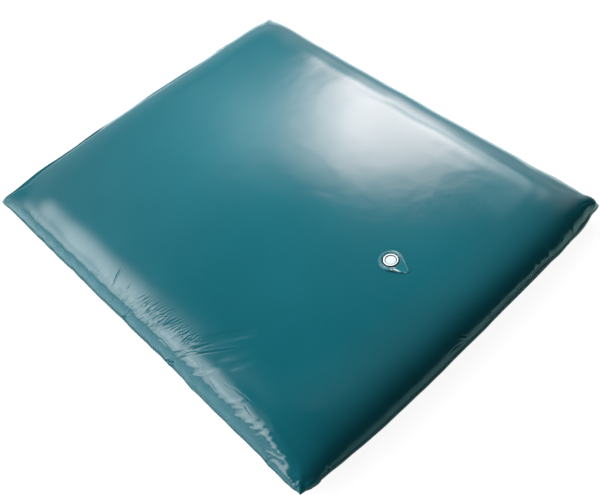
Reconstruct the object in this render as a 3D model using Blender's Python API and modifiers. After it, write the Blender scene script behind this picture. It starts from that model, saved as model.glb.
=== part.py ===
"""A filled water mattress: vinyl shell, corner gussets, valve with screw cap and plug, fibre and water.

Metres, +Z up. The origin is under the middle of the mattress, on the surface that it lies on.
+Y points to the head end, and the valve is near the foot end, at -Y.
"""
import math

import bmesh
import bpy
from mathutils import Matrix, Vector

# Mattress shell
WIDTH = 1.640             # across, between the corner tips
LENGTH = 1.940            # along, between the corner tips
DEPTH = 0.199             # underside to the flat of the top
SEAM_HEIGHT = 0.060       # height of the widest line, where the corner tips are
TOP_ROLL = 0.177          # how far in from the sides the top curves down
BOTTOM_ROLL = 0.086       # how far in from the sides the bottom curves up
FOOT_BULGE = 0.036        # the foot side stands out from its tip line
HEAD_DRAW = 0.017         # the head side is drawn in from its tip line
RIGHT_DRAW = 0.025        # the right side is drawn in
LEFT_DRAW = 0.002         # the left side is nearly straight
BOW_POWER = 4             # how squarely a side leaves its corners
WALL = 0.0007             # vinyl
GAP = 0.0003              # between pieces that touch
LAP = 0.014               # height of the lap weld above the widest line
ROLL_STEPS = 7            # facets from the side to the flat of the top
FLAT_STEPS = 6            # facets across the flat, an even count

# Valve, from its bore outwards
VALVE_FROM_FOOT = 0.352   # from the foot tip line to the valve's axis
BORE_RADIUS = 0.0165
LEDGE = 0.0030            # shelf that the plug stands on
NECK_WALL = 0.0038
THREAD_DEPTH = 0.0013
THREAD_WIDTH = 0.0018
THREAD_CREST = 0.0006
THREAD_PITCH = 0.0030
THREAD_ROOT = 0.0004      # how far the thread's foot is sunk in the neck
THREAD_TURNS = 1.75
THREAD_FROM_RIM = 0.0020
SKIRT_CLEARANCE = 0.0007  # thread crest to the cap's skirt
SKIRT_WALL = 0.0029
WELL_CLEARANCE = 0.0028   # cap to the wall of the well
WELL_WALL = 0.0015
HOLE_CLEARANCE = 0.0005   # well to the hole in the top panel
FLANGE_REACH = 0.0145     # plate beyond the hole
LOBE_REACH = 0.0455       # lobe beyond the round of the plate
LOBE_TIP_RADIUS = 0.014
LOBE_HOLE_RADIUS = 0.0016
LOBE_HOLE_FROM_TIP = 0.017

# Valve, heights
PLATE = 0.0020
BEAD_RADIUS = 0.0017      # raised rim of the plate
RIDGE_HEIGHT = 0.0009
RIDGE_WIDTH = 0.0016
RIDGE_PITCH = 0.0042
RIDGES = 2
WELL_DEPTH = 0.0143       # from the plate's top to the well's floor
WELL_FLOOR = 0.0020
NECK_STAND = 0.0123       # neck's rim above the well's floor
NECK_TAIL = 0.0100        # neck below the well's floor
COLLAR_REACH = 0.0030     # neck's collar under the well's floor
COLLAR = 0.0015
LEDGE_DEPTH = 0.0125      # from the neck's rim down to the ledge
GASKET = 0.0015
GASKET_OVERLAP = 0.0025   # gasket inside the mouth of the neck
DISC = 0.0015
DISC_RISE = 0.0021        # disc's middle above its flange
DISC_CROWN = 0.0004
DISC_CLEARANCE = 0.0005   # disc's flange to the skirt
GROOVE = 0.0026           # open groove round the disc
LIP = 0.0023              # ring's lip over the disc's flange
LIP_OVERLAP = 0.0021
LIP_CHAMFER = 0.0008
BRIDGE_WIDTH = 0.0060     # two bridges across the groove
BRIDGE_ROOT = 0.0020
SKIRT_FLOOR_GAP = 0.0030
CAP_TURN = math.radians(-49)

# Plug
PLUG_HEIGHT = 0.0085
PLUG_WALL = 0.0022
PLUG_FLOOR = 0.0020
TAB_LONG = 0.0180
TAB_THICK = 0.0026
TAB_BELOW_RIM = 0.0004    # pull tab's top under the neck's rim
TAB_HOLE_RADIUS = 0.0028

# Fibre pack and its straps
FIBRE_LAYERS = ("lower", "middle", "upper")
FIBRE_THICKNESS = 0.012
FIBRE_CORNER = 0.060
STRAP_WIDTH = 0.040
STRAP_THICKNESS = 0.0012
STRAP_OVER = 0.060        # strap on top of the pack
STRAP_FOOT = 0.045        # strap beside the pack
STRAP_FROM_END = 0.180    # from the pack's end to the strap's middle
TETHER_TAB_LENGTH = 0.030
TETHER_TAB_WIDTH = 0.060
TETHER_TAB_THICKNESS = 0.0010
TETHER_TAB_EDGE = 0.015   # from the tab to where the bottom starts to curve

# Cuts
OVERRUN = 0.002           # how far a cutter passes what it cuts
AIR_POCKET = 0.006        # free space under the neck
POCKET_CLEARANCE = 0.0015
TURN_STEPS = 48
THREAD_STEPS = 32
ARC_STEPS = 14            # facets on each round of the teardrop
SMALL_STEPS = 16

# Places that follow from the sizes
LAP_STEP = WALL + GAP
GUSSET_INSET = LAP_STEP + WALL + GAP
WATER_INSET = GUSSET_INSET + WALL + GAP
CENTRE_Y = FOOT_BULGE / 2
FIRST_RING = TOP_ROLL * (1 - math.cos(math.pi / 2 / ROLL_STEPS))
FIRST_RING_RISE = math.sin(math.pi / 2 / ROLL_STEPS)

SEAT_RADIUS = BORE_RADIUS + LEDGE
NECK_RADIUS = SEAT_RADIUS + NECK_WALL
SKIRT_RADIUS = NECK_RADIUS + THREAD_DEPTH + SKIRT_CLEARANCE
CAP_RADIUS = SKIRT_RADIUS + SKIRT_WALL
WELL_RADIUS = CAP_RADIUS + WELL_CLEARANCE
WELL_OUTER = WELL_RADIUS + WELL_WALL
HOLE_RADIUS = WELL_OUTER + HOLE_CLEARANCE
FLANGE_RADIUS = HOLE_RADIUS + FLANGE_REACH
LIP_RADIUS = SKIRT_RADIUS - LIP_OVERLAP
DISC_RADIUS = LIP_RADIUS - GROOVE
DISC_FLANGE_RADIUS = SKIRT_RADIUS - DISC_CLEARANCE
PLUG_RADIUS = SEAT_RADIUS - GAP

PLATE_BASE = DEPTH + GAP
PLATE_TOP = PLATE_BASE + PLATE
FLOOR_TOP = PLATE_TOP - WELL_DEPTH
FLOOR_BASE = FLOOR_TOP - WELL_FLOOR
NECK_TOP = FLOOR_TOP + NECK_STAND
NECK_BASE = FLOOR_BASE - NECK_TAIL
LEDGE_TOP = NECK_TOP - LEDGE_DEPTH
GASKET_BASE = NECK_TOP + GAP
DISC_BASE = GASKET_BASE + GASKET + GAP
DISC_FLANGE_TOP = DISC_BASE + DISC
DISC_TOP = DISC_FLANGE_TOP + DISC_RISE
LIP_BASE = DISC_FLANGE_TOP + GAP
CAP_TOP = LIP_BASE + LIP
SKIRT_BASE = FLOOR_TOP + SKIRT_FLOOR_GAP
PLUG_BASE = LEDGE_TOP + GAP
VALVE_Y = CENTRE_Y - LENGTH / 2 + VALVE_FROM_FOOT

FIBRE_MARGIN = STRAP_FOOT + TETHER_TAB_EDGE
FIBRE_INSET = BOTTOM_ROLL + max(HEAD_DRAW, RIGHT_DRAW, LEFT_DRAW) + FIBRE_MARGIN
FIBRE_X = WIDTH / 2 - FIBRE_INSET
FIBRE_Y = LENGTH / 2 - FIBRE_INSET
PACK_BASE = WALL + GAP
PACK_TOP = PACK_BASE + len(FIBRE_LAYERS) * (FIBRE_THICKNESS + GAP) - GAP
STRAP_RISER = FIBRE_X + GAP + STRAP_THICKNESS / 2
TETHER_TAB_TOP = PACK_BASE + TETHER_TAB_THICKNESS
STRAP_TOP_Z = PACK_TOP + GAP + STRAP_THICKNESS / 2
STRAP_FOOT_Z = TETHER_TAB_TOP + GAP + STRAP_THICKNESS / 2

TEAL = (0.016, 0.125, 0.155)
TEAL_CLEAR = (0.045, 0.235, 0.260)
WHITE = (0.80, 0.82, 0.82)
PALE_BLUE = (0.62, 0.74, 0.82)
RUBBER = (0.05, 0.05, 0.055)
FIBRE = (0.78, 0.78, 0.74)
WATER = (0.30, 0.55, 0.62)


def collection(name):
    made = bpy.data.collections.new(name)
    bpy.context.scene.collection.children.link(made)
    return made


def clear_scene():
    for old in list(bpy.data.objects):
        bpy.data.objects.remove(old, do_unlink=True)


def material(name, colour, roughness, alpha=1.0):
    made = bpy.data.materials.new(name)
    made.use_nodes = True
    shader = made.node_tree.nodes["Principled BSDF"]
    shader.inputs["Base Color"].default_value = (*colour, 1.0)
    shader.inputs["Roughness"].default_value = roughness
    shader.inputs["Metallic"].default_value = 0.0
    shader.inputs["Alpha"].default_value = alpha
    return made


def add_object(name, mesh, group):
    made = bpy.data.objects.new(name, mesh)
    group.objects.link(made)
    return made


def finish(obj, colour, roughness, smooth_angle=None, alpha=1.0):
    """Give a piece its material and its shading."""
    obj.data.materials.clear()
    obj.data.materials.append(material(obj.name + "_finish", colour, roughness, alpha))
    if smooth_angle is not None:
        obj.data.shade_smooth()
        obj.data.set_sharp_from_angle(angle=math.radians(smooth_angle))
    return obj


def from_bmesh(name, bm, group):
    mesh = bpy.data.meshes.new(name)
    bmesh.ops.recalc_face_normals(bm, faces=bm.faces)
    bm.to_mesh(mesh)
    bm.free()
    return add_object(name, mesh, group)


def as_mesh(obj, fill_holes=False):
    """Replace an object by its evaluated mesh, welded and facing out."""
    bpy.context.view_layer.update()
    seen = obj.evaluated_get(bpy.context.evaluated_depsgraph_get())
    mesh = bpy.data.meshes.new_from_object(seen)
    bm = bmesh.new()
    bm.from_mesh(mesh)
    bmesh.ops.remove_doubles(bm, verts=bm.verts, dist=GAP / 100)
    if fill_holes:
        bmesh.ops.holes_fill(bm, edges=bm.edges)
    bmesh.ops.recalc_face_normals(bm, faces=bm.faces)
    bm.to_mesh(mesh)
    bm.free()
    made = bpy.data.objects.new(obj.name + "_mesh", mesh)
    made.matrix_world = obj.matrix_world.copy()
    name = obj.name
    for group in list(obj.users_collection):
        group.objects.link(made)
    bpy.data.objects.remove(obj, do_unlink=True)
    made.name = name
    return made


def box(name, low, high, group):
    bm = bmesh.new()
    bmesh.ops.create_cube(bm, size=1)
    low, high = Vector(low), Vector(high)
    size = high - low
    bmesh.ops.transform(
        bm, verts=bm.verts, matrix=Matrix.Translation((low + high) / 2) @ Matrix.Diagonal((*size, 1))
    )
    return from_bmesh(name, bm, group)


def cylinder(name, radius, low, high, at, steps, group):
    bm = bmesh.new()
    bmesh.ops.create_cone(
        bm, cap_ends=True, segments=steps, radius1=radius, radius2=radius, depth=high - low
    )
    bmesh.ops.translate(bm, verts=bm.verts, vec=(at[0], at[1], (low + high) / 2))
    return from_bmesh(name, bm, group)


def turned(name, profile, group, closed=True, steps=TURN_STEPS, at=(0, 0), lead=0, turns=1):
    """Turn a profile of radius and height round a vertical axis; lead is its climb in each turn."""
    mesh = bpy.data.meshes.new(name)
    count = len(profile)
    edges = [(i, i + 1) for i in range(count - 1)]
    if closed:
        edges.append((count - 1, 0))
    mesh.from_pydata([(radius, 0, height) for radius, height in profile], edges, [])
    obj = add_object(name, mesh, group)
    screw = obj.modifiers.new("Turn", "SCREW")
    screw.angle = 2 * math.pi * turns
    screw.steps = round(steps * turns)
    screw.render_steps = screw.steps
    screw.screw_offset = lead * turns
    screw.use_merge_vertices = lead == 0
    screw.merge_threshold = GAP / 100
    obj = as_mesh(obj, fill_holes=lead != 0)
    obj.location = (at[0], at[1], 0)
    return obj


def cut(obj, cutter, operation="DIFFERENCE"):
    """Cut an object with another, or join another to it, and hide the tool."""
    step = obj.modifiers.new(operation.title(), "BOOLEAN")
    step.operation = operation
    step.solver = "EXACT"
    step.object = cutter
    for group in list(cutter.users_collection):
        group.objects.unlink(cutter)
    bpy.data.collections["cutters"].objects.link(cutter)
    cutter.hide_render = True
    cutter.display_type = "WIRE"
    return obj


def solidify(obj, thickness, offset=-1.0):
    step = obj.modifiers.new("Wall", "SOLIDIFY")
    step.thickness = thickness
    step.offset = offset
    step.use_even_offset = offset == 0
    return obj


def roll(distance, reach):
    """Share of the full height at a distance in from the side: a quarter of an ellipse."""
    left = 1 - min(max(distance / reach, 0), 1)
    return math.sqrt(max(1 - left * left, 0))


def stations(half):
    """Places across one axis, from one side to the other, close together where the shell curves."""
    ring = [TOP_ROLL * (1 - math.cos(math.pi / 2 * k / ROLL_STEPS)) for k in range(ROLL_STEPS + 1)]
    flat = half - TOP_ROLL
    low = [distance - half for distance in ring]
    middle = [flat * (2 * k / FLAT_STEPS - 1) for k in range(1, FLAT_STEPS)]
    return low + middle + [-place for place in reversed(low)]


def plan_point(x, y, inset):
    """Where a point of the straight-sided plan lies once the sides are bowed and set in."""
    across, along = x / (WIDTH / 2), y / (LENGTH / 2)
    bow_x = 1 - abs(along) ** BOW_POWER
    bow_y = 1 - abs(across) ** BOW_POWER
    side = -RIGHT_DRAW if across > 0 else LEFT_DRAW
    end = -HEAD_DRAW if along > 0 else -FOOT_BULGE
    moved_x = x - across * inset + side * bow_x * abs(across)
    moved_y = y - along * inset + end * bow_y * abs(along) + CENTRE_Y
    return moved_x, moved_y


def crown_point(x, y, inset):
    px, py = plan_point(x, y, inset)
    rise = roll(WIDTH / 2 - abs(x), TOP_ROLL) * roll(LENGTH / 2 - abs(y), TOP_ROLL)
    return Vector((px, py, SEAM_HEIGHT + (DEPTH + LAP_STEP - inset - SEAM_HEIGHT) * rise))


def belly_point(x, y, inset, lift):
    px, py = plan_point(x, y, inset)
    fall = roll(WIDTH / 2 - abs(x), BOTTOM_ROLL) * roll(LENGTH / 2 - abs(y), BOTTOM_ROLL)
    return Vector((px, py, SEAM_HEIGHT - (SEAM_HEIGHT - lift) * fall))


def sheet_grid(xs, ys, place):
    """A grid of faces over two lists of stations, each point put where place says."""
    bm = bmesh.new()
    bmesh.ops.create_grid(bm, x_segments=len(xs) - 1, y_segments=len(ys) - 1, size=1)
    bm.verts.ensure_lookup_table()
    for vert in bm.verts:
        column = round((vert.co.x + 1) / 2 * (len(xs) - 1))
        row = round((vert.co.y + 1) / 2 * (len(ys) - 1))
        vert.co = place(xs[column], ys[row])
    return bm


def facet(bm):
    """Split every quad along its shorter diagonal, so that shells one inside the other stay parallel."""
    bmesh.ops.triangulate(bm, faces=bm.faces, quad_method="SHORT_EDGE")


def make_top_panel(group):
    xs, ys = stations(WIDTH / 2), stations(LENGTH / 2)
    bm = sheet_grid(xs, ys, lambda x, y: crown_point(x, y, LAP_STEP))
    tips = [vert for vert in bm.verts if len(vert.link_edges) == 2]
    bmesh.ops.delete(bm, geom=tips, context="VERTS")
    facet(bm)
    panel = solidify(from_bmesh("top_panel", bm, group), WALL)
    hole = cylinder(
        "valve_hole", HOLE_RADIUS, DEPTH - OVERRUN, DEPTH + OVERRUN, (0, VALVE_Y), TURN_STEPS, group
    )
    cut(panel, hole)
    return finish(panel, TEAL, 0.22, smooth_angle=50)


def lap_point(x, y):
    """Top of the lap weld over a point of the rim: part of the way to the shell's first ring."""
    to_side, to_end = WIDTH / 2 - abs(x), LENGTH / 2 - abs(y)
    if to_side + to_end < GAP:
        return crown_point(x, y, 0)
    on_side = to_side < GAP
    inner_x = x - math.copysign(FIRST_RING, x) if on_side else x
    inner_y = y if on_side else y - math.copysign(FIRST_RING, y)
    share = LAP / ((DEPTH + LAP_STEP - SEAM_HEIGHT) * FIRST_RING_RISE)
    return crown_point(x, y, 0).lerp(crown_point(inner_x, inner_y, 0), share)


def close_corner(bm, side, end):
    """Carry the lap over a corner's tip, up to the first ring of the shell."""
    x, y = side * WIDTH / 2, end * LENGTH / 2
    inner_x, inner_y = x - side * FIRST_RING, y - end * FIRST_RING
    tip = bm.verts.new(crown_point(x, y, 0))
    peak = bm.verts.new(crown_point(inner_x, inner_y, 0))
    for beside in (lap_point(x, inner_y), lap_point(inner_x, y)):
        bm.faces.new((tip, peak, bm.verts.new(beside)))


def make_bottom_panel(group):
    """The belly with its lap; the grid is numbered by station until every rim has grown its lap."""
    xs, ys = stations(WIDTH / 2), stations(LENGTH / 2)
    bm = sheet_grid(range(len(xs)), range(len(ys)), lambda column, row: Vector((column, row, 0)))
    for axis, place in ((0, 0), (0, len(xs) - 1), (1, 0), (1, len(ys) - 1)):
        rim = [
            edge for edge in bm.edges
            if edge.is_boundary and all(vert.co[axis] == place and vert.co.z == 0 for vert in edge.verts)
        ]
        grown = bmesh.ops.extrude_edge_only(bm, edges=rim)
        for vert in grown["geom"]:
            if isinstance(vert, bmesh.types.BMVert):
                vert.co.z = 1
    for vert in bm.verts:
        x, y = xs[round(vert.co.x)], ys[round(vert.co.y)]
        vert.co = lap_point(x, y) if vert.co.z else belly_point(x, y, 0, 0)
    for _, side, end in corners("lap"):
        close_corner(bm, side, end)
    bmesh.ops.remove_doubles(bm, verts=bm.verts, dist=GAP / 100)
    facet(bm)
    panel = solidify(from_bmesh("bottom_panel", bm, group), WALL)
    return finish(panel, TEAL, 0.22, smooth_angle=50)


def make_gusset(name, side, end, group):
    """A corner's reinforcement, welded inside the top panel over the roll of the corner."""
    xs = [side * place for place in stations(WIDTH / 2)[1 : ROLL_STEPS + 1]]
    ys = [end * place for place in stations(LENGTH / 2)[1 : ROLL_STEPS + 1]]
    bm = sheet_grid(xs, ys, lambda x, y: crown_point(x, y, GUSSET_INSET))
    facet(bm)
    bmesh.ops.recalc_face_normals(bm, faces=bm.faces)
    if sum(face.normal.z for face in bm.faces) < 0:
        bmesh.ops.reverse_faces(bm, faces=bm.faces)
    mesh = bpy.data.meshes.new(name)
    bm.to_mesh(mesh)
    bm.free()
    return finish(solidify(add_object(name, mesh, group), WALL), TEAL, 0.3, smooth_angle=50)


def make_water(group):
    """What the shell holds: less the fibre pack, the straps and a pocket under the valve."""
    xs, ys = stations(WIDTH / 2), stations(LENGTH / 2)
    upper = sheet_grid(xs, ys, lambda x, y: crown_point(x, y, WATER_INSET))
    lower = sheet_grid(xs, ys, lambda x, y: belly_point(x, y, WATER_INSET, WALL + GAP))
    spare = bpy.data.meshes.new("water_lower")
    lower.to_mesh(spare)
    lower.free()
    upper.from_mesh(spare)
    bpy.data.meshes.remove(spare)
    bmesh.ops.remove_doubles(upper, verts=upper.verts, dist=GAP / 100)
    facet(upper)
    water = from_bmesh("water_fill", upper, group)
    pack_ceiling = PACK_TOP + 2 * GAP + STRAP_THICKNESS
    cut(water, box(
        "pack_space", (-FIBRE_X - GAP, CENTRE_Y - FIBRE_Y - GAP, -OVERRUN),
        (FIBRE_X + GAP, CENTRE_Y + FIBRE_Y + GAP, pack_ceiling), group
    ))
    half = max(STRAP_WIDTH, TETHER_TAB_WIDTH) / 2 + GAP
    for name, side, end in corners("strap_space"):
        y = strap_y(end)
        inner = side * (FIBRE_X - GAP)
        riser = side * (STRAP_RISER + STRAP_THICKNESS / 2 + GAP)
        foot = side * (STRAP_RISER + STRAP_FOOT + GAP)
        cut(water, box(
            name + "_riser", (min(inner, riser), y - half, -OVERRUN),
            (max(inner, riser), y + half, pack_ceiling - GAP / 2), group
        ))
        cut(water, box(
            name + "_foot", (min(inner, foot), y - half, -OVERRUN),
            (max(inner, foot), y + half, STRAP_FOOT_Z + STRAP_THICKNESS / 2 + GAP), group
        ))
    cut(water, cylinder(
        "valve_pocket", WELL_OUTER + POCKET_CLEARANCE, NECK_BASE - AIR_POCKET, DEPTH + OVERRUN,
        (0, VALVE_Y), TURN_STEPS, group
    ))
    return finish(water, WATER, 0.05, smooth_angle=50, alpha=0.35)


def corners(stem):
    for end_name, end in (("foot", -1), ("head", 1)):
        for side_name, side in (("left", -1), ("right", 1)):
            yield f"{stem}_{end_name}_{side_name}", side, end


def strap_y(end):
    return CENTRE_Y + end * (FIBRE_Y - STRAP_FROM_END)


def make_fibre(level, name, group):
    base = PACK_BASE + level * (FIBRE_THICKNESS + GAP)
    layer = box(
        f"fibre_layer_{name}", (-FIBRE_X, CENTRE_Y - FIBRE_Y, base),
        (FIBRE_X, CENTRE_Y + FIBRE_Y, base + FIBRE_THICKNESS), group
    )
    bm = bmesh.new()
    bm.from_mesh(layer.data)
    upright = [edge for edge in bm.edges if abs(edge.verts[0].co.z - edge.verts[1].co.z) > GAP]
    bmesh.ops.bevel(bm, geom=upright, offset=FIBRE_CORNER, segments=5, profile=0.5, affect="EDGES")
    bm.to_mesh(layer.data)
    bm.free()
    return finish(layer, FIBRE, 0.95)


def make_strap(name, side, end, group):
    """A flat strap: over the pack, down its side and out onto the weld tab."""
    path = [
        (FIBRE_X - STRAP_OVER, STRAP_TOP_Z),
        (STRAP_RISER, STRAP_TOP_Z),
        (STRAP_RISER, STRAP_FOOT_Z),
        (STRAP_RISER + STRAP_FOOT, STRAP_FOOT_Z),
    ]
    y = strap_y(end)
    bm = bmesh.new()
    rows = [
        [bm.verts.new((side * x, y + edge * STRAP_WIDTH / 2, z)) for edge in (-1, 1)]
        for x, z in path
    ]
    for row, following in zip(rows, rows[1:]):
        bm.faces.new((row[0], row[1], following[1], following[0]))
    strap = solidify(from_bmesh(name, bm, group), STRAP_THICKNESS, offset=0)
    return finish(strap, FIBRE, 0.7)


def make_tether_tab(name, side, end, group):
    y = strap_y(end)
    outer = STRAP_RISER + STRAP_FOOT
    xs = sorted((side * (outer - TETHER_TAB_LENGTH), side * outer))
    tab = box(
        name, (xs[0], y - TETHER_TAB_WIDTH / 2, PACK_BASE),
        (xs[1], y + TETHER_TAB_WIDTH / 2, TETHER_TAB_TOP), group
    )
    return finish(tab, TEAL, 0.3)


def teardrop(inset):
    """Outline of the plate: a round and a smaller round at the tip of the lobe, joined by tangents."""
    big, small = FLANGE_RADIUS - inset, LOBE_TIP_RADIUS - inset
    reach = FLANGE_RADIUS + LOBE_REACH - LOBE_TIP_RADIUS
    lean = math.asin((big - small) / reach)
    points = []
    for k in range(2 * ARC_STEPS + 1):
        angle = -lean + (math.pi + 2 * lean) * k / (2 * ARC_STEPS)
        points.append((big * math.cos(angle), big * math.sin(angle)))
    for k in range(ARC_STEPS + 1):
        angle = math.pi + lean + (math.pi - 2 * lean) * k / ARC_STEPS
        points.append((small * math.cos(angle), small * math.sin(angle) - reach))
    return points


def outline_curve(name, points, height, group):
    data = bpy.data.curves.new(name, "CURVE")
    spline = data.splines.new("POLY")
    spline.points.add(len(points) - 1)
    for point, (x, y) in zip(spline.points, points):
        point.co = (x, y, 0, 1)
    spline.use_cyclic_u = True
    obj = add_object(name, data, group)
    obj.location = (0, VALVE_Y, height)
    return obj


def make_valve_flange(group):
    plate = outline_curve("valve_flange", teardrop(0), PLATE_BASE + PLATE / 2, group)
    plate.data.dimensions = "2D"
    plate.data.fill_mode = "BOTH"
    plate.data.extrude = PLATE / 2
    plate = as_mesh(plate)
    well = turned(
        "well_form",
        [
            (WELL_RADIUS, PLATE_TOP - RIDGE_HEIGHT / 2), (WELL_RADIUS, FLOOR_TOP),
            (NECK_RADIUS + GAP, FLOOR_TOP), (NECK_RADIUS + GAP, FLOOR_BASE),
            (WELL_OUTER, FLOOR_BASE), (WELL_OUTER, PLATE_TOP - RIDGE_HEIGHT / 2),
        ][::-1],
        group, at=(0, VALVE_Y),
    )
    mouth = cylinder(
        "well_mouth", WELL_RADIUS, PLATE_BASE - OVERRUN, PLATE_TOP + OVERRUN, (0, VALVE_Y), TURN_STEPS, group
    )
    cut(plate, mouth)
    cut(plate, well, "UNION")
    bead = outline_curve("rim_form", teardrop(BEAD_RADIUS), PLATE_TOP, group)
    bead.data.dimensions = "3D"
    bead.data.bevel_depth = BEAD_RADIUS
    bead.data.bevel_resolution = 1
    cut(plate, as_mesh(bead), "UNION")
    for k in range(RIDGES):
        radius = HOLE_RADIUS + RIDGE_WIDTH + k * RIDGE_PITCH
        ridge = turned(
            f"ridge_form_{k}",
            [
                (radius - RIDGE_WIDTH / 2, PLATE_TOP - RIDGE_HEIGHT), (radius, PLATE_TOP + RIDGE_HEIGHT),
                (radius + RIDGE_WIDTH / 2, PLATE_TOP - RIDGE_HEIGHT),
            ],
            group, at=(0, VALVE_Y),
        )
        cut(plate, ridge, "UNION")
    hole_y = VALVE_Y - FLANGE_RADIUS - LOBE_REACH + LOBE_HOLE_FROM_TIP
    cut(plate, cylinder(
        "lobe_hole", LOBE_HOLE_RADIUS, PLATE_BASE - OVERRUN, PLATE_TOP + OVERRUN, (0, hole_y), SMALL_STEPS, group
    ))
    return finish(plate, TEAL_CLEAR, 0.18, smooth_angle=40)


def make_valve_neck(group):
    collar = NECK_RADIUS + COLLAR_REACH
    collar_top = FLOOR_BASE - GAP
    neck = turned(
        "valve_neck",
        [
            (SEAT_RADIUS, NECK_TOP), (NECK_RADIUS, NECK_TOP), (NECK_RADIUS, collar_top),
            (collar, collar_top), (collar, collar_top - COLLAR), (NECK_RADIUS, collar_top - COLLAR),
            (NECK_RADIUS, NECK_BASE), (BORE_RADIUS, NECK_BASE), (BORE_RADIUS, LEDGE_TOP),
            (SEAT_RADIUS, LEDGE_TOP),
        ],
        group, at=(0, VALVE_Y),
    )
    crest = NECK_RADIUS + THREAD_DEPTH
    root = NECK_RADIUS - THREAD_ROOT
    low = NECK_TOP - THREAD_FROM_RIM - THREAD_WIDTH / 2 - THREAD_PITCH * THREAD_TURNS
    thread = turned(
        "thread_form",
        [
            (root, low + THREAD_WIDTH / 2), (crest, low + THREAD_CREST / 2),
            (crest, low - THREAD_CREST / 2), (root, low - THREAD_WIDTH / 2),
        ],
        group, steps=THREAD_STEPS, at=(0, VALVE_Y), lead=THREAD_PITCH, turns=THREAD_TURNS,
    )
    cut(neck, thread, "UNION")
    return finish(neck, WHITE, 0.35, smooth_angle=40)


def make_cap_ring(group):
    ring = turned(
        "cap_ring",
        [
            (LIP_RADIUS, CAP_TOP), (CAP_RADIUS - LIP_CHAMFER, CAP_TOP), (CAP_RADIUS, CAP_TOP - LIP_CHAMFER),
            (CAP_RADIUS, SKIRT_BASE), (SKIRT_RADIUS, SKIRT_BASE), (SKIRT_RADIUS, LIP_BASE),
            (LIP_RADIUS, LIP_BASE),
        ],
        group, at=(0, VALVE_Y),
    )
    return finish(ring, WHITE, 0.3, smooth_angle=40)


def make_cap_disc(group):
    disc = turned(
        "cap_disc",
        [
            (0, DISC_TOP + DISC_CROWN), (DISC_RADIUS / 2, DISC_TOP + DISC_CROWN * 3 / 4),
            (DISC_RADIUS, DISC_TOP), (DISC_RADIUS, DISC_FLANGE_TOP), (DISC_FLANGE_RADIUS, DISC_FLANGE_TOP),
            (DISC_FLANGE_RADIUS, DISC_BASE), (0, DISC_BASE),
        ],
        group, closed=False, at=(0, VALVE_Y),
    )
    for side in (-1, 1):
        inner = side * (DISC_RADIUS - BRIDGE_ROOT)
        outer = side * (LIP_RADIUS - GAP)
        bridge = box(
            f"bridge_form_{side + 1}", (min(inner, outer), -BRIDGE_WIDTH / 2, DISC_FLANGE_TOP - DISC / 2),
            (max(inner, outer), BRIDGE_WIDTH / 2, DISC_TOP), group
        )
        bridge.location = (0, VALVE_Y, 0)
        bridge.rotation_euler = (0, 0, CAP_TURN)
        cut(disc, bridge, "UNION")
    return finish(disc, PALE_BLUE, 0.35, smooth_angle=40)


def make_cap_gasket(group):
    inner = SEAT_RADIUS - GASKET_OVERLAP
    top = GASKET_BASE + GASKET
    gasket = turned(
        "cap_gasket",
        [(inner, top), (NECK_RADIUS, top), (NECK_RADIUS, GASKET_BASE), (inner, GASKET_BASE)],
        group, at=(0, VALVE_Y),
    )
    return finish(gasket, RUBBER, 0.6, smooth_angle=40)


def make_plug(group):
    """A stopper cup on the neck's ledge, with an upright pull tab across it."""
    top = PLUG_BASE + PLUG_HEIGHT
    floor = PLUG_BASE + PLUG_FLOOR
    inner = PLUG_RADIUS - PLUG_WALL
    plug = turned(
        "plug",
        [
            (0, floor), (inner, floor), (inner, top), (PLUG_RADIUS, top), (PLUG_RADIUS, PLUG_BASE), (0, PLUG_BASE),
        ],
        group, closed=False, at=(0, VALVE_Y),
    )
    tab_top = NECK_TOP - TAB_BELOW_RIM
    tab = box(
        "pull_tab_form", (-TAB_LONG / 2, VALVE_Y - TAB_THICK / 2, floor - PLUG_FLOOR / 2),
        (TAB_LONG / 2, VALVE_Y + TAB_THICK / 2, tab_top), group
    )
    cut(plug, tab, "UNION")
    hole = cylinder("tab_hole", TAB_HOLE_RADIUS, -TAB_THICK, TAB_THICK, (0, 0), SMALL_STEPS, group)
    hole.location = (0, VALVE_Y, (floor + tab_top) / 2)
    hole.rotation_euler = (math.pi / 2, 0, 0)
    cut(plug, hole)
    return finish(plug, WHITE, 0.4, smooth_angle=40)


def main():
    clear_scene()
    group = collection("water_mattress")
    collection("cutters")
    make_top_panel(group)
    make_bottom_panel(group)
    for name, side, end in corners("corner_gusset"):
        make_gusset(name, side, end, group)
    for level, name in enumerate(FIBRE_LAYERS):
        make_fibre(level, name, group)
    for name, side, end in corners("tether_strap"):
        make_strap(name, side, end, group)
    for name, side, end in corners("tether_tab"):
        make_tether_tab(name, side, end, group)
    make_water(group)
    make_valve_flange(group)
    make_valve_neck(group)
    make_cap_ring(group)
    make_cap_disc(group)
    make_cap_gasket(group)
    make_plug(group)


main()
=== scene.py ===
"""The looks of a filled water mattress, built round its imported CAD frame.

Metres, +Z up, in the frame of the CAD part: the origin is under the middle of the mattress,
+Y points to the head end, and the valve is near the foot end, at -Y.
"""

import math

import bmesh
import bpy
import numpy as np
from mathutils import Matrix, Vector
from mathutils.kdtree import KDTree


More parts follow.
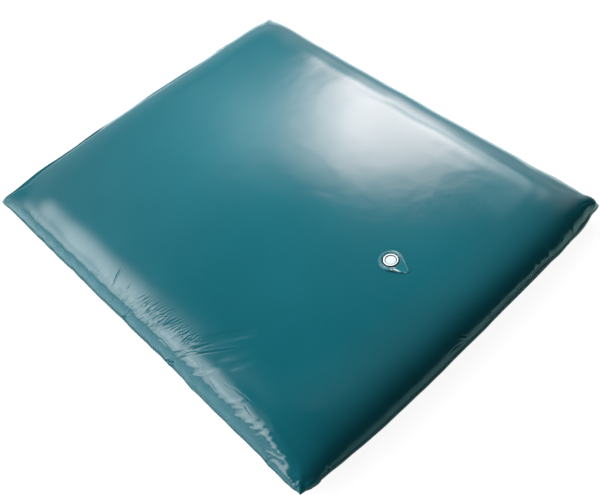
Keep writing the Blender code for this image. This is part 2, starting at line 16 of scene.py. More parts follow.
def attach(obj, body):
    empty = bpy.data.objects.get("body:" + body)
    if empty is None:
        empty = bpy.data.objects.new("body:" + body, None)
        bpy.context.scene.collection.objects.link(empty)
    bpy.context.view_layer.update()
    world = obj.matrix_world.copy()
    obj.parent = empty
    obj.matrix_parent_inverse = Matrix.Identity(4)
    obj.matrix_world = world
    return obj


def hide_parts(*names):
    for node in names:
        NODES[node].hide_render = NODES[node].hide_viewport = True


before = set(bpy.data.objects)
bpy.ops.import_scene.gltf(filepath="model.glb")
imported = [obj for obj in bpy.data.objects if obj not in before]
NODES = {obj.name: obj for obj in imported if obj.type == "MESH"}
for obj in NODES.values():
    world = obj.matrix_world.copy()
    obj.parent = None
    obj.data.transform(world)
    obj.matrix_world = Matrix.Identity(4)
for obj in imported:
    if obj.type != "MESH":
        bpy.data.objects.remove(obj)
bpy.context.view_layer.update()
RNG = np.random.default_rng(7)

# Camera of the photograph, whose picture is 600 x 495
PHOTO_WIDTH, PHOTO_HEIGHT = 600, 495
FOCAL_PIXELS = 820
SENSOR = 36.0
CAMERA_PLACE = np.array((-1.3197, -1.9041, 2.6128))
CAMERA_RIGHT = np.array((0.72072, -0.68376, -0.11417))
CAMERA_DOWN = np.array((-0.58883, -0.51691, -0.62136))
CAMERA_AHEAD = np.array((0.36584, 0.51505, -0.77516))

MM = 0.001
QUARTER = math.pi / 2
NEARLY_QUARTER = 1.5      # short of it, so that a cosine isn't zero
SHORTEST, TINY = 1e-6, 1e-12

# Shell of the mattress: sizes of the part's source, but each side's roll is this model's own
WIDTH, LENGTH, DEPTH = 1.640, 1.940, 0.199
HALF_X, HALF_Y = WIDTH / 2, LENGTH / 2
SEAM_HEIGHT = 0.060
BOTTOM_ROLL = 0.086
# How far in from each side the top curves down, and how softly that starts: 2 is an ellipse
LEFT_ROLL, RIGHT_ROLL = (0.255, 3.0), (0.235, 3.2)
FOOT_ROLL, HEAD_ROLL = (0.320, 3.8), (0.210, 2.6)
LEFT_TIP_ROLL, LEFT_TIP_SPREAD = 0.150, 0.28    # by the left tips those two reach further in
TIP_PULL, TIP_REACH = 0.003, 0.018     # the corner tips are blunt
FOOT_BULGE, HEAD_DRAW = 0.036, 0.017
RIGHT_DRAW, LEFT_DRAW = 0.025, 0.002
BOW_POWER = 4             # how squarely a side leaves its corners
CENTRE_Y = FOOT_BULGE / 2
WALL = 0.0007
GAP = 0.0003
LAP_STEP = WALL + GAP
LAP = 0.014               # height of the lap weld above the widest line
LAP_ROWS = (1.0, 0.66, 0.33, 0.0)      # rows of the lap, as shares of its height
BELLY_STEPS = 22
OUTWARD_POWER = 15        # how late the outward direction turns at a tip
WELD_DISTANCE = 1e-5
VALVE_Y = CENTRE_Y - HALF_Y + 0.352
HOLE_RADIUS = 0.0335      # a little wider than the part's

# Valve: the plate's height, round and well as in the part's source; its bead is thinner here,
# its lobe shorter, and the curl and the crest aren't in the part
FLANGE_RADIUS, WELL_RADIUS, WELL_OUTER, NECK_RADIUS = 0.0475, 0.0310, 0.0325, 0.0233
LOBE_CENTRE, LOBE_RADIUS = 0.071, 0.014
LOBE_HOLE, LOBE_HOLE_PLACE = 0.0016, 0.070
LOBE_HOLE_DEPTH, LOBE_HOLE_SIDES = 0.02, 28
PLATE_BASE, PLATE_TOP = 0.1993, 0.2013
FLOOR_TOP, FLOOR_BASE = 0.1870, 0.1850
BEAD_RADIUS = 0.0009
RIDGE_WIDTH, RIDGE_HEIGHT = 0.0016, 0.0009
RIDGES = (0.0346, 0.0388)
RIDGE_SLOPE = 0.45        # a ridge's falling off, as a share of its width
RIDGE_FIELD = 0.0412
CURL, CURL_REACH = 0.0046, 0.028       # the plate's near edge lifts, and how far in
CURL_ANGLE, CURL_SPREAD = 46, 17       # where it lifts, in degrees round from the lobe
LOBE_SPREAD = 50                       # degrees that the lobe takes up
TIP_DRAW = 0.05                        # the lobe's tip bends, which draws it in
CREST, CREST_PLACE, CREST_WIDTH = 0.0011, 0.0060, 0.0026   # a soft crest inside the plate's rim
DROOP = 0.0004                         # the plate isn't quite flat
TIP_STEPS, LOBE_STEPS, ROUND_STEPS = 12, 30, 44
BEAD_STEPS, RIDGE_STEPS = 13, 34
PLATE_STEPS = (0.04, 1, 13)            # rows between bead and ridges, as shares: first, last, count
UNDER_STEPS = 8
MOUTH, MOUTH_STEPS = 0.0006, 5         # rounding of the well's mouth
# Radius and height down the well, under its floor and up to the plate's underside
WELL_PROFILE = (
    (WELL_RADIUS, FLOOR_TOP + 0.0008), (WELL_RADIUS - 0.0003, FLOOR_TOP + 0.0002),
    (WELL_RADIUS - 0.0008, FLOOR_TOP), (NECK_RADIUS + GAP, FLOOR_TOP),
    (NECK_RADIUS + GAP, FLOOR_BASE), (WELL_OUTER, FLOOR_BASE),
    (WELL_OUTER, PLATE_BASE), (WELL_OUTER + 0.0005, PLATE_BASE),
)
DISC_RADIUS = 0.0206
GROOVE_SHIFT = -0.0016    # the groove's painted shade is wider on its far side
CAP_TOP = 0.2055

# What the shell holds: sizes of the part's source, with a slightly larger pocket at the valve
GUSSET_REACH, GUSSET_EDGE, GUSSET_STRIDE = 0.177, 0.0044, 4
FIBRE_X, FIBRE_Y = 0.649, 0.799
FIBRE_THICKNESS, FIBRE_CORNER = 0.012, 0.060
FIBRE_STEPS_X, FIBRE_STEPS_Y, FIBRE_EDGE_STEPS = 74, 90, 14
FIBRE_EDGE, FIBRE_ROUND = 0.55, 0.010  # thickness at its edge, as a share, and how far in that goes
FIBRE_ROOM = 0.0008                    # thickness that the waves of its faces may take
FIBRE_WAVE, FIBRE_WAVES, WAVE_TOP = 0.0002, (12, 0.05, 0.16), 1.9
PACK_BASE = WALL + GAP
PACK_TOP = PACK_BASE + 3 * (FIBRE_THICKNESS + GAP) - GAP
STRAP_WIDTH, STRAP_THICKNESS = 0.040, 0.0012
STRAP_OVER, STRAP_BEND, BEND_STEPS = 0.060, 0.0022, 9
STRAP_RISER, STRAP_END = 0.6499, 0.6949
STRAP_TOP_Z, STRAP_FOOT_Z = 0.0385, 0.0029
STRAP_Y = FIBRE_Y - 0.180
WEFT_PITCH = 0.0025
RIBS, RIB_FOOT = 17, 0.82              # ribs across the webbing, and the thickness between them
HEM_SLOPE, HEM = 6.5, 0.45             # the webbing thins out to this share at its edges
WATER_INSET = LAP_STEP + 2 * (WALL + GAP)
WATER_ROOM = 0.006        # how far round it the water looks for the lowest fold
WATER_FLAT_STEPS, WATER_EDGE_STEPS, WATER_EDGE_FROM = 50, 18, 0.12
OVER_PACK, OVER_TAB = 0.0022, 0.0014   # the water's room over the fibre and over the straps' feet
PACK_WALL = 0.001                      # how wide the step of the water at the pack is
POCKET_RADIUS, POCKET_FLOOR = 0.0345, 0.168
POCKET_SPAN, POCKET_STEPS = 1.4, 29    # grid round the pocket, in radii to each side
POCKET_SNAP, POCKET_MARGIN = 0.06, 1.01
WATER_DIGITS = 4                       # lines of the water's grid closer than this are one


# Camera, floor and light

def link(obj):
    bpy.context.scene.collection.objects.link(obj)
    return obj


def round_object(name, make, **sizes):
    """An object from one of the modeller's round shapes."""
    bm = bmesh.new()
    make(bm, cap_ends=True, **sizes)
    mesh = bpy.data.meshes.new(name)
    bm.to_mesh(mesh)
    bm.free()
    return link(bpy.data.objects.new(name, mesh))


def make_camera():
    data = bpy.data.cameras.new("photo_camera")
    data.sensor_width = SENSOR
    data.lens = SENSOR * FOCAL_PIXELS / PHOTO_WIDTH
    data.clip_end = 100
    camera = link(bpy.data.objects.new("photo_camera", data))
    columns = (CAMERA_RIGHT, -CAMERA_DOWN, -CAMERA_AHEAD, CAMERA_PLACE)
    camera.matrix_world = Matrix([(*c, last) for c, last in zip(columns, (0, 0, 0, 1))]).transposed()
    bpy.context.scene.camera = camera


class Graph:
    """Shorthand for building a shader's node tree."""

    def __init__(self, tree):
        self.tree = tree

    def node(self, kind, *inputs, **values):
        """A new node with its first inputs put in order, and its settings by name."""
        made = self.tree.nodes.new(kind)
        for name, value in values.items():
            setattr(made, name, value)
        for socket, value in zip(made.inputs, inputs):
            self.put(socket, value)
        return made

    def put(self, socket, value):
        if isinstance(value, bpy.types.NodeSocket):
            self.tree.links.new(value, socket)
        elif value is not None:
            socket.default_value = value

    def named(self, kind, **inputs):
        """The output of a new node whose inputs are put by name."""
        made = self.node(kind)
        for name, value in inputs.items():
            self.put(made.inputs[name], value)
        return made.outputs[0]

    def math(self, operation, a, b=None, clamp=False):
        return self.node("ShaderNodeMath", a, b, operation=operation, use_clamp=clamp).outputs[0]

    def add(self, a, b):
        return self.math("ADD", a, b)

    def less(self, a, b):
        return self.math("SUBTRACT", a, b)

    def times(self, a, b):
        return self.math("MULTIPLY", a, b)

    def axes(self, vector):
        return self.node("ShaderNodeSeparateXYZ", vector).outputs

    def mix(self, factor, a, b):
        made = self.node("ShaderNodeMix", factor, data_type="RGBA")
        self.put(made.inputs[6], a)
        self.put(made.inputs[7], b)
        return made.outputs[2]

    def ramp(self, value, low, high, to_low=0.0, to_high=1.0):
        return self.node("ShaderNodeMapRange", value, low, high, to_low, to_high).outputs[0]

    def noise(self, vector, scale, detail=2.0, rough=0.5, distortion=0.0):
        return self.named("ShaderNodeTexNoise", Vector=vector, Scale=scale, Detail=detail,
                          Roughness=rough, Distortion=distortion)

    def bump(self, height, distance, strength=1.0, normal=None):
        return self.named("ShaderNodeBump", Strength=strength, Distance=distance, Height=height,
                          Normal=normal)


def bare_graph(owner):
    owner.use_nodes = True
    owner.node_tree.nodes.clear()
    return Graph(owner.node_tree)


FLOOR_RADIUS, FLOOR_SIDES = 14, 96
FLOOR_WHITE, FLOOR_BOUNCE = (0.90, 0.90, 0.90, 1), (0.20, 0.20, 0.20, 1)
FLOOR_GLOW, FLOOR_EVEN = 1.08, 0.85    # the camera sees the floor partly as an even glow
FLOOR_SHEET_END = (-1.44, -1.08)       # in gloss, the white floor ends in front of the foot side
# The floor as only the shell's gloss sees it, a painted reflection: beside the mattress, in front of
# its foot, and close under its left side, where its dark is painted shade
SIDE_MIRROR, DARK_MIRROR = (0.95, 1.12, 1.15, 1), (0.02, 0.03, 0.03, 1)
FOOT_MIRROR_LEFT, FOOT_MIRROR_RIGHT = (0.26, 0.52, 0.44, 1), (0.54, 0.98, 0.86, 1)
FOOT_MIRROR_SPAN = (-0.8, 0.1)     # across the foot, from its left colour to its right one
FOOT_MIRROR_FROM = (-0.98, -1.04)
UNDER_SIDE_SHADE = (-0.885, -0.855)        # how far out from the middle the painted shade on the floor under the side reaches
UNDER_SIDE_SHADE_END = (-0.1, -0.2)        # how far in it reaches
UNDER_SIDE_SHADE_FOOT = (-1.00, -0.95)     # and where it ends at the foot


def make_floor():
    floor = round_object("floor", bmesh.ops.create_circle, segments=FLOOR_SIDES, radius=FLOOR_RADIUS)
    white = bpy.data.materials.new("floor_white")
    graph = bare_graph(white)
    path = graph.node("ShaderNodeLightPath").outputs
    x, y, _ = graph.axes(graph.node("ShaderNodeTexCoord").outputs["Object"])
    beyond = graph.ramp(y, *FLOOR_SHEET_END, 1.0, 0.0)
    bounced = graph.mix(graph.times(beyond, path["Is Diffuse Ray"]), FLOOR_WHITE, FLOOR_BOUNCE)
    foot = graph.mix(graph.ramp(x, *FOOT_MIRROR_SPAN), FOOT_MIRROR_LEFT, FOOT_MIRROR_RIGHT)
    mirror = graph.mix(graph.ramp(y, *FOOT_MIRROR_FROM), SIDE_MIRROR, foot)
    # painted shade: under the left side the floor is dark in the shell's reflections
    under = graph.times(graph.ramp(x, *UNDER_SIDE_SHADE), graph.ramp(x, *UNDER_SIDE_SHADE_END))
    under = graph.times(under, graph.ramp(y, *UNDER_SIDE_SHADE_FOOT))
    mirror = graph.mix(beyond, graph.mix(under, mirror, DARK_MIRROR), DARK_MIRROR)
    colour = graph.mix(path["Is Glossy Ray"], bounced, mirror)
    diffuse = graph.node("ShaderNodeBsdfDiffuse", colour)
    glow = graph.node("ShaderNodeEmission", None, FLOOR_GLOW)
    shown = graph.times(path["Is Camera Ray"], FLOOR_EVEN)
    seen = graph.node("ShaderNodeMixShader", shown, diffuse.outputs[0], glow.outputs[0])
    graph.node("ShaderNodeOutputMaterial", seen.outputs[0])
    floor.data.materials.append(white)


# Soft lights round the studio, in degrees: azimuth from +Y towards +X, elevation, half width,
# half height and lean, then the strength, and whether it is a panel rather than a glow. One with
# a strength below zero takes away from those round it
WARM_PANELS = (
    (46.6, 43.4, 8.7, 4.9, -5, 19.4, True),
    (46.6, 35.6, 3.0, 7.6, 49, 15.2, False),
    (55.7, 31.5, 4.9, 13.8, 7, 8.4, False),
    (47.9, 47.4, 16.5, 6.6, -23, -3.0, False),
    (51.2, 48.4, 11.3, 3.0, 13, -3.0, False),
)
LIGHTS = (
    (57.7, 40.5, 12.6, 7.2, 36, 4.5, True),
    (-53.2, 29.0, 10.7, 43.7, -64, 8.3, True),
    (82.8, 25.3, 33.8, 21.9, 13, 1.70, True),
    (15.1, 24.1, 24.2, 59.9, 54, 0.75, True),
    (35.0, 42.2, 5.6, 3.0, 1, 3.0, False),
    (56.5, 89.6, 95.0, 31.3, -15, 0.31, False),
    (-52.4, 10.3, 23.3, 13.0, 27, 6.7, False),
    (77.5, 44.8, 10.1, 6.2, 3, 2.2, False),
    (-59.3, 25.8, 5.2, 22.2, -39, -3.0, False),
    (45.0, 51.5, 17.0, 4.5, -8, -0.75, False),
    (-66.0, 46.0, 12.0, 9.0, 0, 0.9, False),
    (48.0, 29.0, 8.0, 5.0, 0, 0.7, False),
    (36.0, 17.0, 8.0, 5.0, 0, 0.5, False),
)
COOL, WARM, WHITE = (0.985, 0.993, 1.0, 1), (1.0, 0.82, 0.79, 1), (1, 1, 1, 1)
AMBIENT = 0.01
HORIZON = (0, 6, 1.05)          # degrees over which the studio fades into the white floor, and its level
GROUND_SPAN = (-0.5, 0.1)       # that level sets in over this span of a direction's part along +Y
# Large lamps that light the shell without a reflection of their own: place, aim, size and watts
LAMPS = {
    "left_fill": ((-2.7, 0.2, 1.3), (-0.4, -0.1, 0), 2.2, 36),
    "head_fill": ((0.7, 0.9, 1.6), (0.1, 0.4, 0.1), 1.4, 15),
    "right_fill": ((0.95, -0.25, 1.2), (0.45, -0.3, 0.2), 0.9, 5.9),
    "middle_fill": ((0.2, 0.4, 1.1), (0.14, 0.28, 0.1), 0.9, 8.3),
}


def make_lamps():
    for name, (place, aim, size, watts) in LAMPS.items():
        data = bpy.data.lights.new(name, "AREA")
        data.shape = "SQUARE"
        data.size = size
        data.energy = watts
        lamp = link(bpy.data.objects.new(name, data))
        lamp.location = Vector(place)
        lamp.rotation_euler = (Vector(place) - Vector(aim)).to_track_quat("Z", "Y").to_euler()
        lamp.visible_glossy = False
        lamp.visible_camera = False


def glows(graph, azimuth, elevation, lights):
    """The summed radiance of soft lights in a direction."""
    add, less, times = graph.add, graph.less, graph.times
    total = 0.0
    for *degrees, strength, panel in lights:
        az, el, wide, high, lean = (math.radians(d) for d in degrees)
        aside, above = less(azimuth, az), less(elevation, el)
        across = add(times(aside, math.cos(lean)), times(above, math.sin(lean)))
        along = less(times(above, math.cos(lean)), times(aside, math.sin(lean)))
        across, along = graph.math("DIVIDE", across, wide), graph.math("DIVIDE", along, high)
        away = add(times(across, across), times(along, along))
        if panel:
            away = times(away, away)
        glow = graph.math("EXPONENT", times(away, -1.0))
        total = add(times(glow, strength), total)
    return total


def make_world():
    world = bpy.data.worlds.new("studio")
    bpy.context.scene.world = world
    graph = bare_graph(world)
    x, y, z = graph.axes(graph.node("ShaderNodeTexCoord").outputs["Generated"])
    azimuth, elevation = graph.math("ARCTAN2", x, y), graph.math("ARCSINE", z)
    low, high, level = HORIZON
    fade = graph.ramp(elevation, math.radians(low), math.radians(high))
    ground = graph.times(graph.ramp(y, *GROUND_SPAN, AMBIENT, level), graph.less(1.0, fade))
    cool = graph.times(glows(graph, azimuth, elevation, LIGHTS), fade)
    cool = graph.math("MAXIMUM", graph.add(graph.add(cool, ground), AMBIENT), 0)
    warm = graph.math("MAXIMUM", glows(graph, azimuth, elevation, WARM_PANELS), 0)
    warm = graph.times(warm, fade)
    lit = [graph.node("ShaderNodeBackground", *light).outputs[0] for light in ((COOL, cool), (WARM, warm))]
    lit = graph.node("ShaderNodeAddShader", *lit)
    white = graph.node("ShaderNodeBackground", WHITE)
    path = graph.node("ShaderNodeLightPath").outputs
    direct = graph.math("ADD", path["Is Camera Ray"], path["Is Transmission Ray"], clamp=True)
    seen = graph.node("ShaderNodeMixShader", direct, lit.outputs[0], white.outputs[0])
    graph.node("ShaderNodeOutputWorld", seen.outputs[0])


# Shape of the shell

def roll(distance, reach, power=2.0):
    """Share of the full height at a distance in from the side."""
    left = 1 - np.clip(distance / reach, 0, 1)
    return np.sqrt(np.maximum(1 - left ** power, 0))


def top_roll(place, half, low, high):
    """The roll of the top across one axis, whose two sides differ."""
    return np.where(place > 0, roll(half - place, *high), roll(half + place, *low))


def plan(x, y, inset):
    """Where a place of the plain rectangle lies once the sides are bowed."""
    u, v = x / HALF_X, y / HALF_Y
    side = np.where(x > 0, -RIGHT_DRAW, LEFT_DRAW)
    end = np.where(y > 0, -HEAD_DRAW, -FOOT_BULGE)
    pull = TIP_PULL * np.exp(-((HALF_X - abs(x)) ** 2 + (HALF_Y - abs(y)) ** 2) / TIP_REACH ** 2)
    px = x - u * (inset + pull) + side * (1 - abs(v) ** BOW_POWER) * abs(u)
    py = y - v * (inset + pull) + end * (1 - abs(u) ** BOW_POWER) * abs(v) + CENTRE_Y
    return px, py


def crown(x, y, inset=LAP_STEP):
    """The top of the shell, from the widest line up."""
    px, py = plan(x, y, inset)
    further = LEFT_TIP_ROLL * np.exp(-((x + HALF_X) / LEFT_TIP_SPREAD) ** 2)
    foot, head = ((reach + further, power) for reach, power in (FOOT_ROLL, HEAD_ROLL))
    rise = top_roll(x, HALF_X, LEFT_ROLL, RIGHT_ROLL) * top_roll(y, HALF_Y, foot, head)
    return np.stack([px, py, SEAM_HEIGHT + (DEPTH + LAP_STEP - inset - SEAM_HEIGHT) * rise], -1)


def belly(x, y, inset=0.0, lift=0.0):
    """The bottom of the shell, from the widest line down."""
    px, py = plan(x, y, inset)
    fall = roll(HALF_X - abs(x), BOTTOM_ROLL) * roll(HALF_Y - abs(y), BOTTOM_ROLL)
    return np.stack([px, py, SEAM_HEIGHT - (SEAM_HEIGHT - lift) * fall], -1)


def round_steps(reach, steps, start=0.0):
    """Places in from a side, close together where the roll is steep."""
    return reach * (1 - np.cos(np.linspace(start, QUARTER, steps)))


# Grid of the top across an axis: steps of the low roll, spans of the flat as (end, steps), the
# steps of the last span, and the steps of the high roll. Round the valve the grid is fine
VALVE_SPAN = 0.075
X_STEPS = (104, ((-0.465, 27), (-VALVE_SPAN, 42), (VALVE_SPAN, 42)), 60, 48)
Y_STEPS = (92, ((-0.34, 104), (0.28, 300)), 116, 52)


def stations(half, low, high, low_steps, spans, last_steps, high_steps):
    places = list(round_steps(low, low_steps + 1) - half)
    for end, steps in (*spans, (half - high, last_steps)):
        places += list(np.linspace(places[-1], end, steps + 1)[1:])
    places += list((half - round_steps(high, high_steps + 1))[::-1][1:])
    return np.array(places)


XS = stations(HALF_X, LEFT_ROLL[0], RIGHT_ROLL[0], *X_STEPS)
YS = stations(HALF_Y, FOOT_ROLL[0], HEAD_ROLL[0], *Y_STEPS)
X0, Y0 = np.meshgrid(XS, YS, indexing="ij")
BASE = crown(X0, Y0)


def unit(vectors):
    return vectors / np.maximum(np.linalg.norm(vectors, axis=-1, keepdims=True), TINY)


def grid_normals(points):
    return unit(np.cross(np.gradient(points, axis=0), np.gradient(points, axis=1)))


NORMALS = grid_normals(BASE)
RAISED = np.zeros(X0.shape)


def to_photo(points):
    """Pixels of the photograph at which points are seen."""
    seen = points - CAMERA_PLACE
    ahead = seen @ CAMERA_AHEAD
    across = PHOTO_WIDTH / 2 + FOCAL_PIXELS * (seen @ CAMERA_RIGHT) / ahead
    down = PHOTO_HEIGHT / 2 + FOCAL_PIXELS * (seen @ CAMERA_DOWN) / ahead
    return np.stack([across, down], -1)


def photo_tree():
    """Finds the grid place that is seen at a pixel."""
    seen = np.flatnonzero(((CAMERA_PLACE - BASE) * NORMALS).sum(-1) > 0)
    tree = KDTree(len(seen))
    for index, pixel in zip(seen.tolist(), to_photo(BASE).reshape(-1, 2)[seen].tolist()):
        tree.insert((*pixel, 0), index)
    tree.balance()
    return tree


PHOTO_TREE = photo_tree()
PATH_STEPS = 4            # pieces between two given points of a fold
TAPER = 0.35              # share of a fold's length over which each end dies away
# Cross sections of the folds, in half widths: how much the shell does the opposite beside a
# valley or a ridge, and where; the slopes of a fold before and after its line, and the depth,
# place and width of the dip behind it
VALLEY_SIDES, RIDGE_SIDES = (0.4, 1.8), (0.25, 1.9)
FOLD_SLOPES, FOLD_DIP = (2.6, 0.75), (0.7, 1.7, 0.9)
SOFT_WIDTH, SOFT_POWER = 1.5, 4
FOLD_REACH, OTHER_REACH = 4.5, 3.2     # how far from its line a stroke is worked out
CREASE_BOW, CREASE_SCATTER = 0.06, 0.5
CREASE_KINDS = ("valley", "ridge")


def on_shell(pixel):
    """Point of the shell that a pixel of the photograph shows."""
    return BASE.reshape(-1, 3)[PHOTO_TREE.find((*pixel, 0))[1]]


def smooth_path(points):
    """A curve through given points."""
    p = np.array(points, float)
    if len(p) == 2:
        return np.linspace(p[0], p[1], PATH_STEPS + 1)
    p = np.vstack([2 * p[0] - p[1], p, 2 * p[-1] - p[-2]])
    made = []
    for a, b, c, d in zip(p, p[1:], p[2:], p[3:]):
        for t in np.arange(PATH_STEPS) / PATH_STEPS:
            made.append(0.5 * (2 * b + (c - a) * t + (2 * a - 5 * b + 4 * c - d) * t * t
                               + (3 * b - a - 3 * c + d) * t ** 3))
    made.append(p[-2])
    return np.array(made)


def beside(s, share, place):
    return share * (np.exp(-(s - place) ** 2) + np.exp(-(s + place) ** 2))


def profile(kind, s):
    """Height of a stroke's cross section at s half widths from its line."""
    if kind == "valley":
        return -np.exp(-s * s) + beside(s, *VALLEY_SIDES)
    if kind == "ridge":
        return np.exp(-s * s) - beside(s, *RIDGE_SIDES)
    if kind == "fold":
        before, after = FOLD_SLOPES
        depth, place, width = FOLD_DIP
        over = np.where(s < 0, np.exp(-(s / before) ** 2), np.exp(-(s / after) ** 2))
        return over - depth * np.exp(-((s - place) / width) ** 2)
    return np.exp(-(s / SOFT_WIDTH) ** SOFT_POWER)


def stroke(pixels, width, height, kind):
    """Raise or sink the shell along a curve given in pixels of the photograph."""
    route = np.array([on_shell(p) for p in smooth_path(pixels)])
    reach = width * (FOLD_REACH if kind == "fold" else OTHER_REACH)
    low, high = route.min(0) - reach, route.max(0) + reach
    near = np.nonzero(((BASE > low) & (BASE < high)).all(-1))
    at, up = BASE[near], NORMALS[near]
    steps = np.diff(route, axis=0)
    lengths = np.maximum(np.linalg.norm(steps, axis=1), SHORTEST)
    run = np.concatenate([[0], np.cumsum(lengths)])
    best = np.full(len(at), np.inf)
    share = np.zeros(len(at))
    side = np.zeros(len(at))
    for k, (start, step, length) in enumerate(zip(route, steps, lengths)):
        t = np.clip((at - start) @ step / length ** 2, 0, 1)
        gap = at - start - t[:, None] * step
        away = np.linalg.norm(gap, axis=1)
        closer = away < best
        best[closer] = away[closer]
        share[closer] = ((run[k] + t * length) / run[-1])[closer]
        side[closer] = np.sign((np.cross(np.broadcast_to(step, gap.shape), gap) * up).sum(-1))[closer]
    s = best * np.where(side == 0, 1, side) / width
    # past its ends the share is 0 or 1, so nothing is raised there
    ends = np.clip(share / TAPER, 0, 1) * np.clip((1 - share) / TAPER, 0, 1)
    ends = ends * ends * (3 - 2 * ends)
    RAISED[near] += height * profile(kind, s) * ends


def field(line, spread, angle, lean, lengths, widths, heights, count):
    """Scatter short creases along a line in the photograph; angle is their direction there."""
    line = np.array(line, float)
    for _ in range(count):
        t = RNG.random() * (len(line) - 1)
        k = min(int(t), len(line) - 2)
        centre = line[k] + (line[k + 1] - line[k]) * (t - k)
        centre = centre + RNG.normal(0, CREASE_SCATTER, 2) * spread
        turn = math.radians(angle + RNG.normal(0, lean))
        way = np.array((math.cos(turn), -math.sin(turn)))
        across = np.array((way[1], -way[0]))
        long = RNG.uniform(*lengths)
        bow = RNG.normal(0, CREASE_BOW) * long
        points = [centre - way * long / 2, centre + across * bow, centre + way * long / 2]
        kind = CREASE_KINDS[int(RNG.integers(len(CREASE_KINDS)))]
        stroke(points, RNG.uniform(*widths) * MM, RNG.uniform(*heights) * MM, kind)


def sway(x, y, waves, low, high):
    """A smooth uneven surface: a few waves in random directions."""
    total = np.zeros(np.shape(x))
    for _ in range(waves):
        turn, length = RNG.uniform(0, 2 * math.pi), RNG.uniform(low, high)
        phase = RNG.uniform(0, 2 * math.pi)
        total += np.sin(2 * math.pi / length * (x * math.cos(turn) + y * math.sin(turn)) + phase)
    return total / math.sqrt(waves)


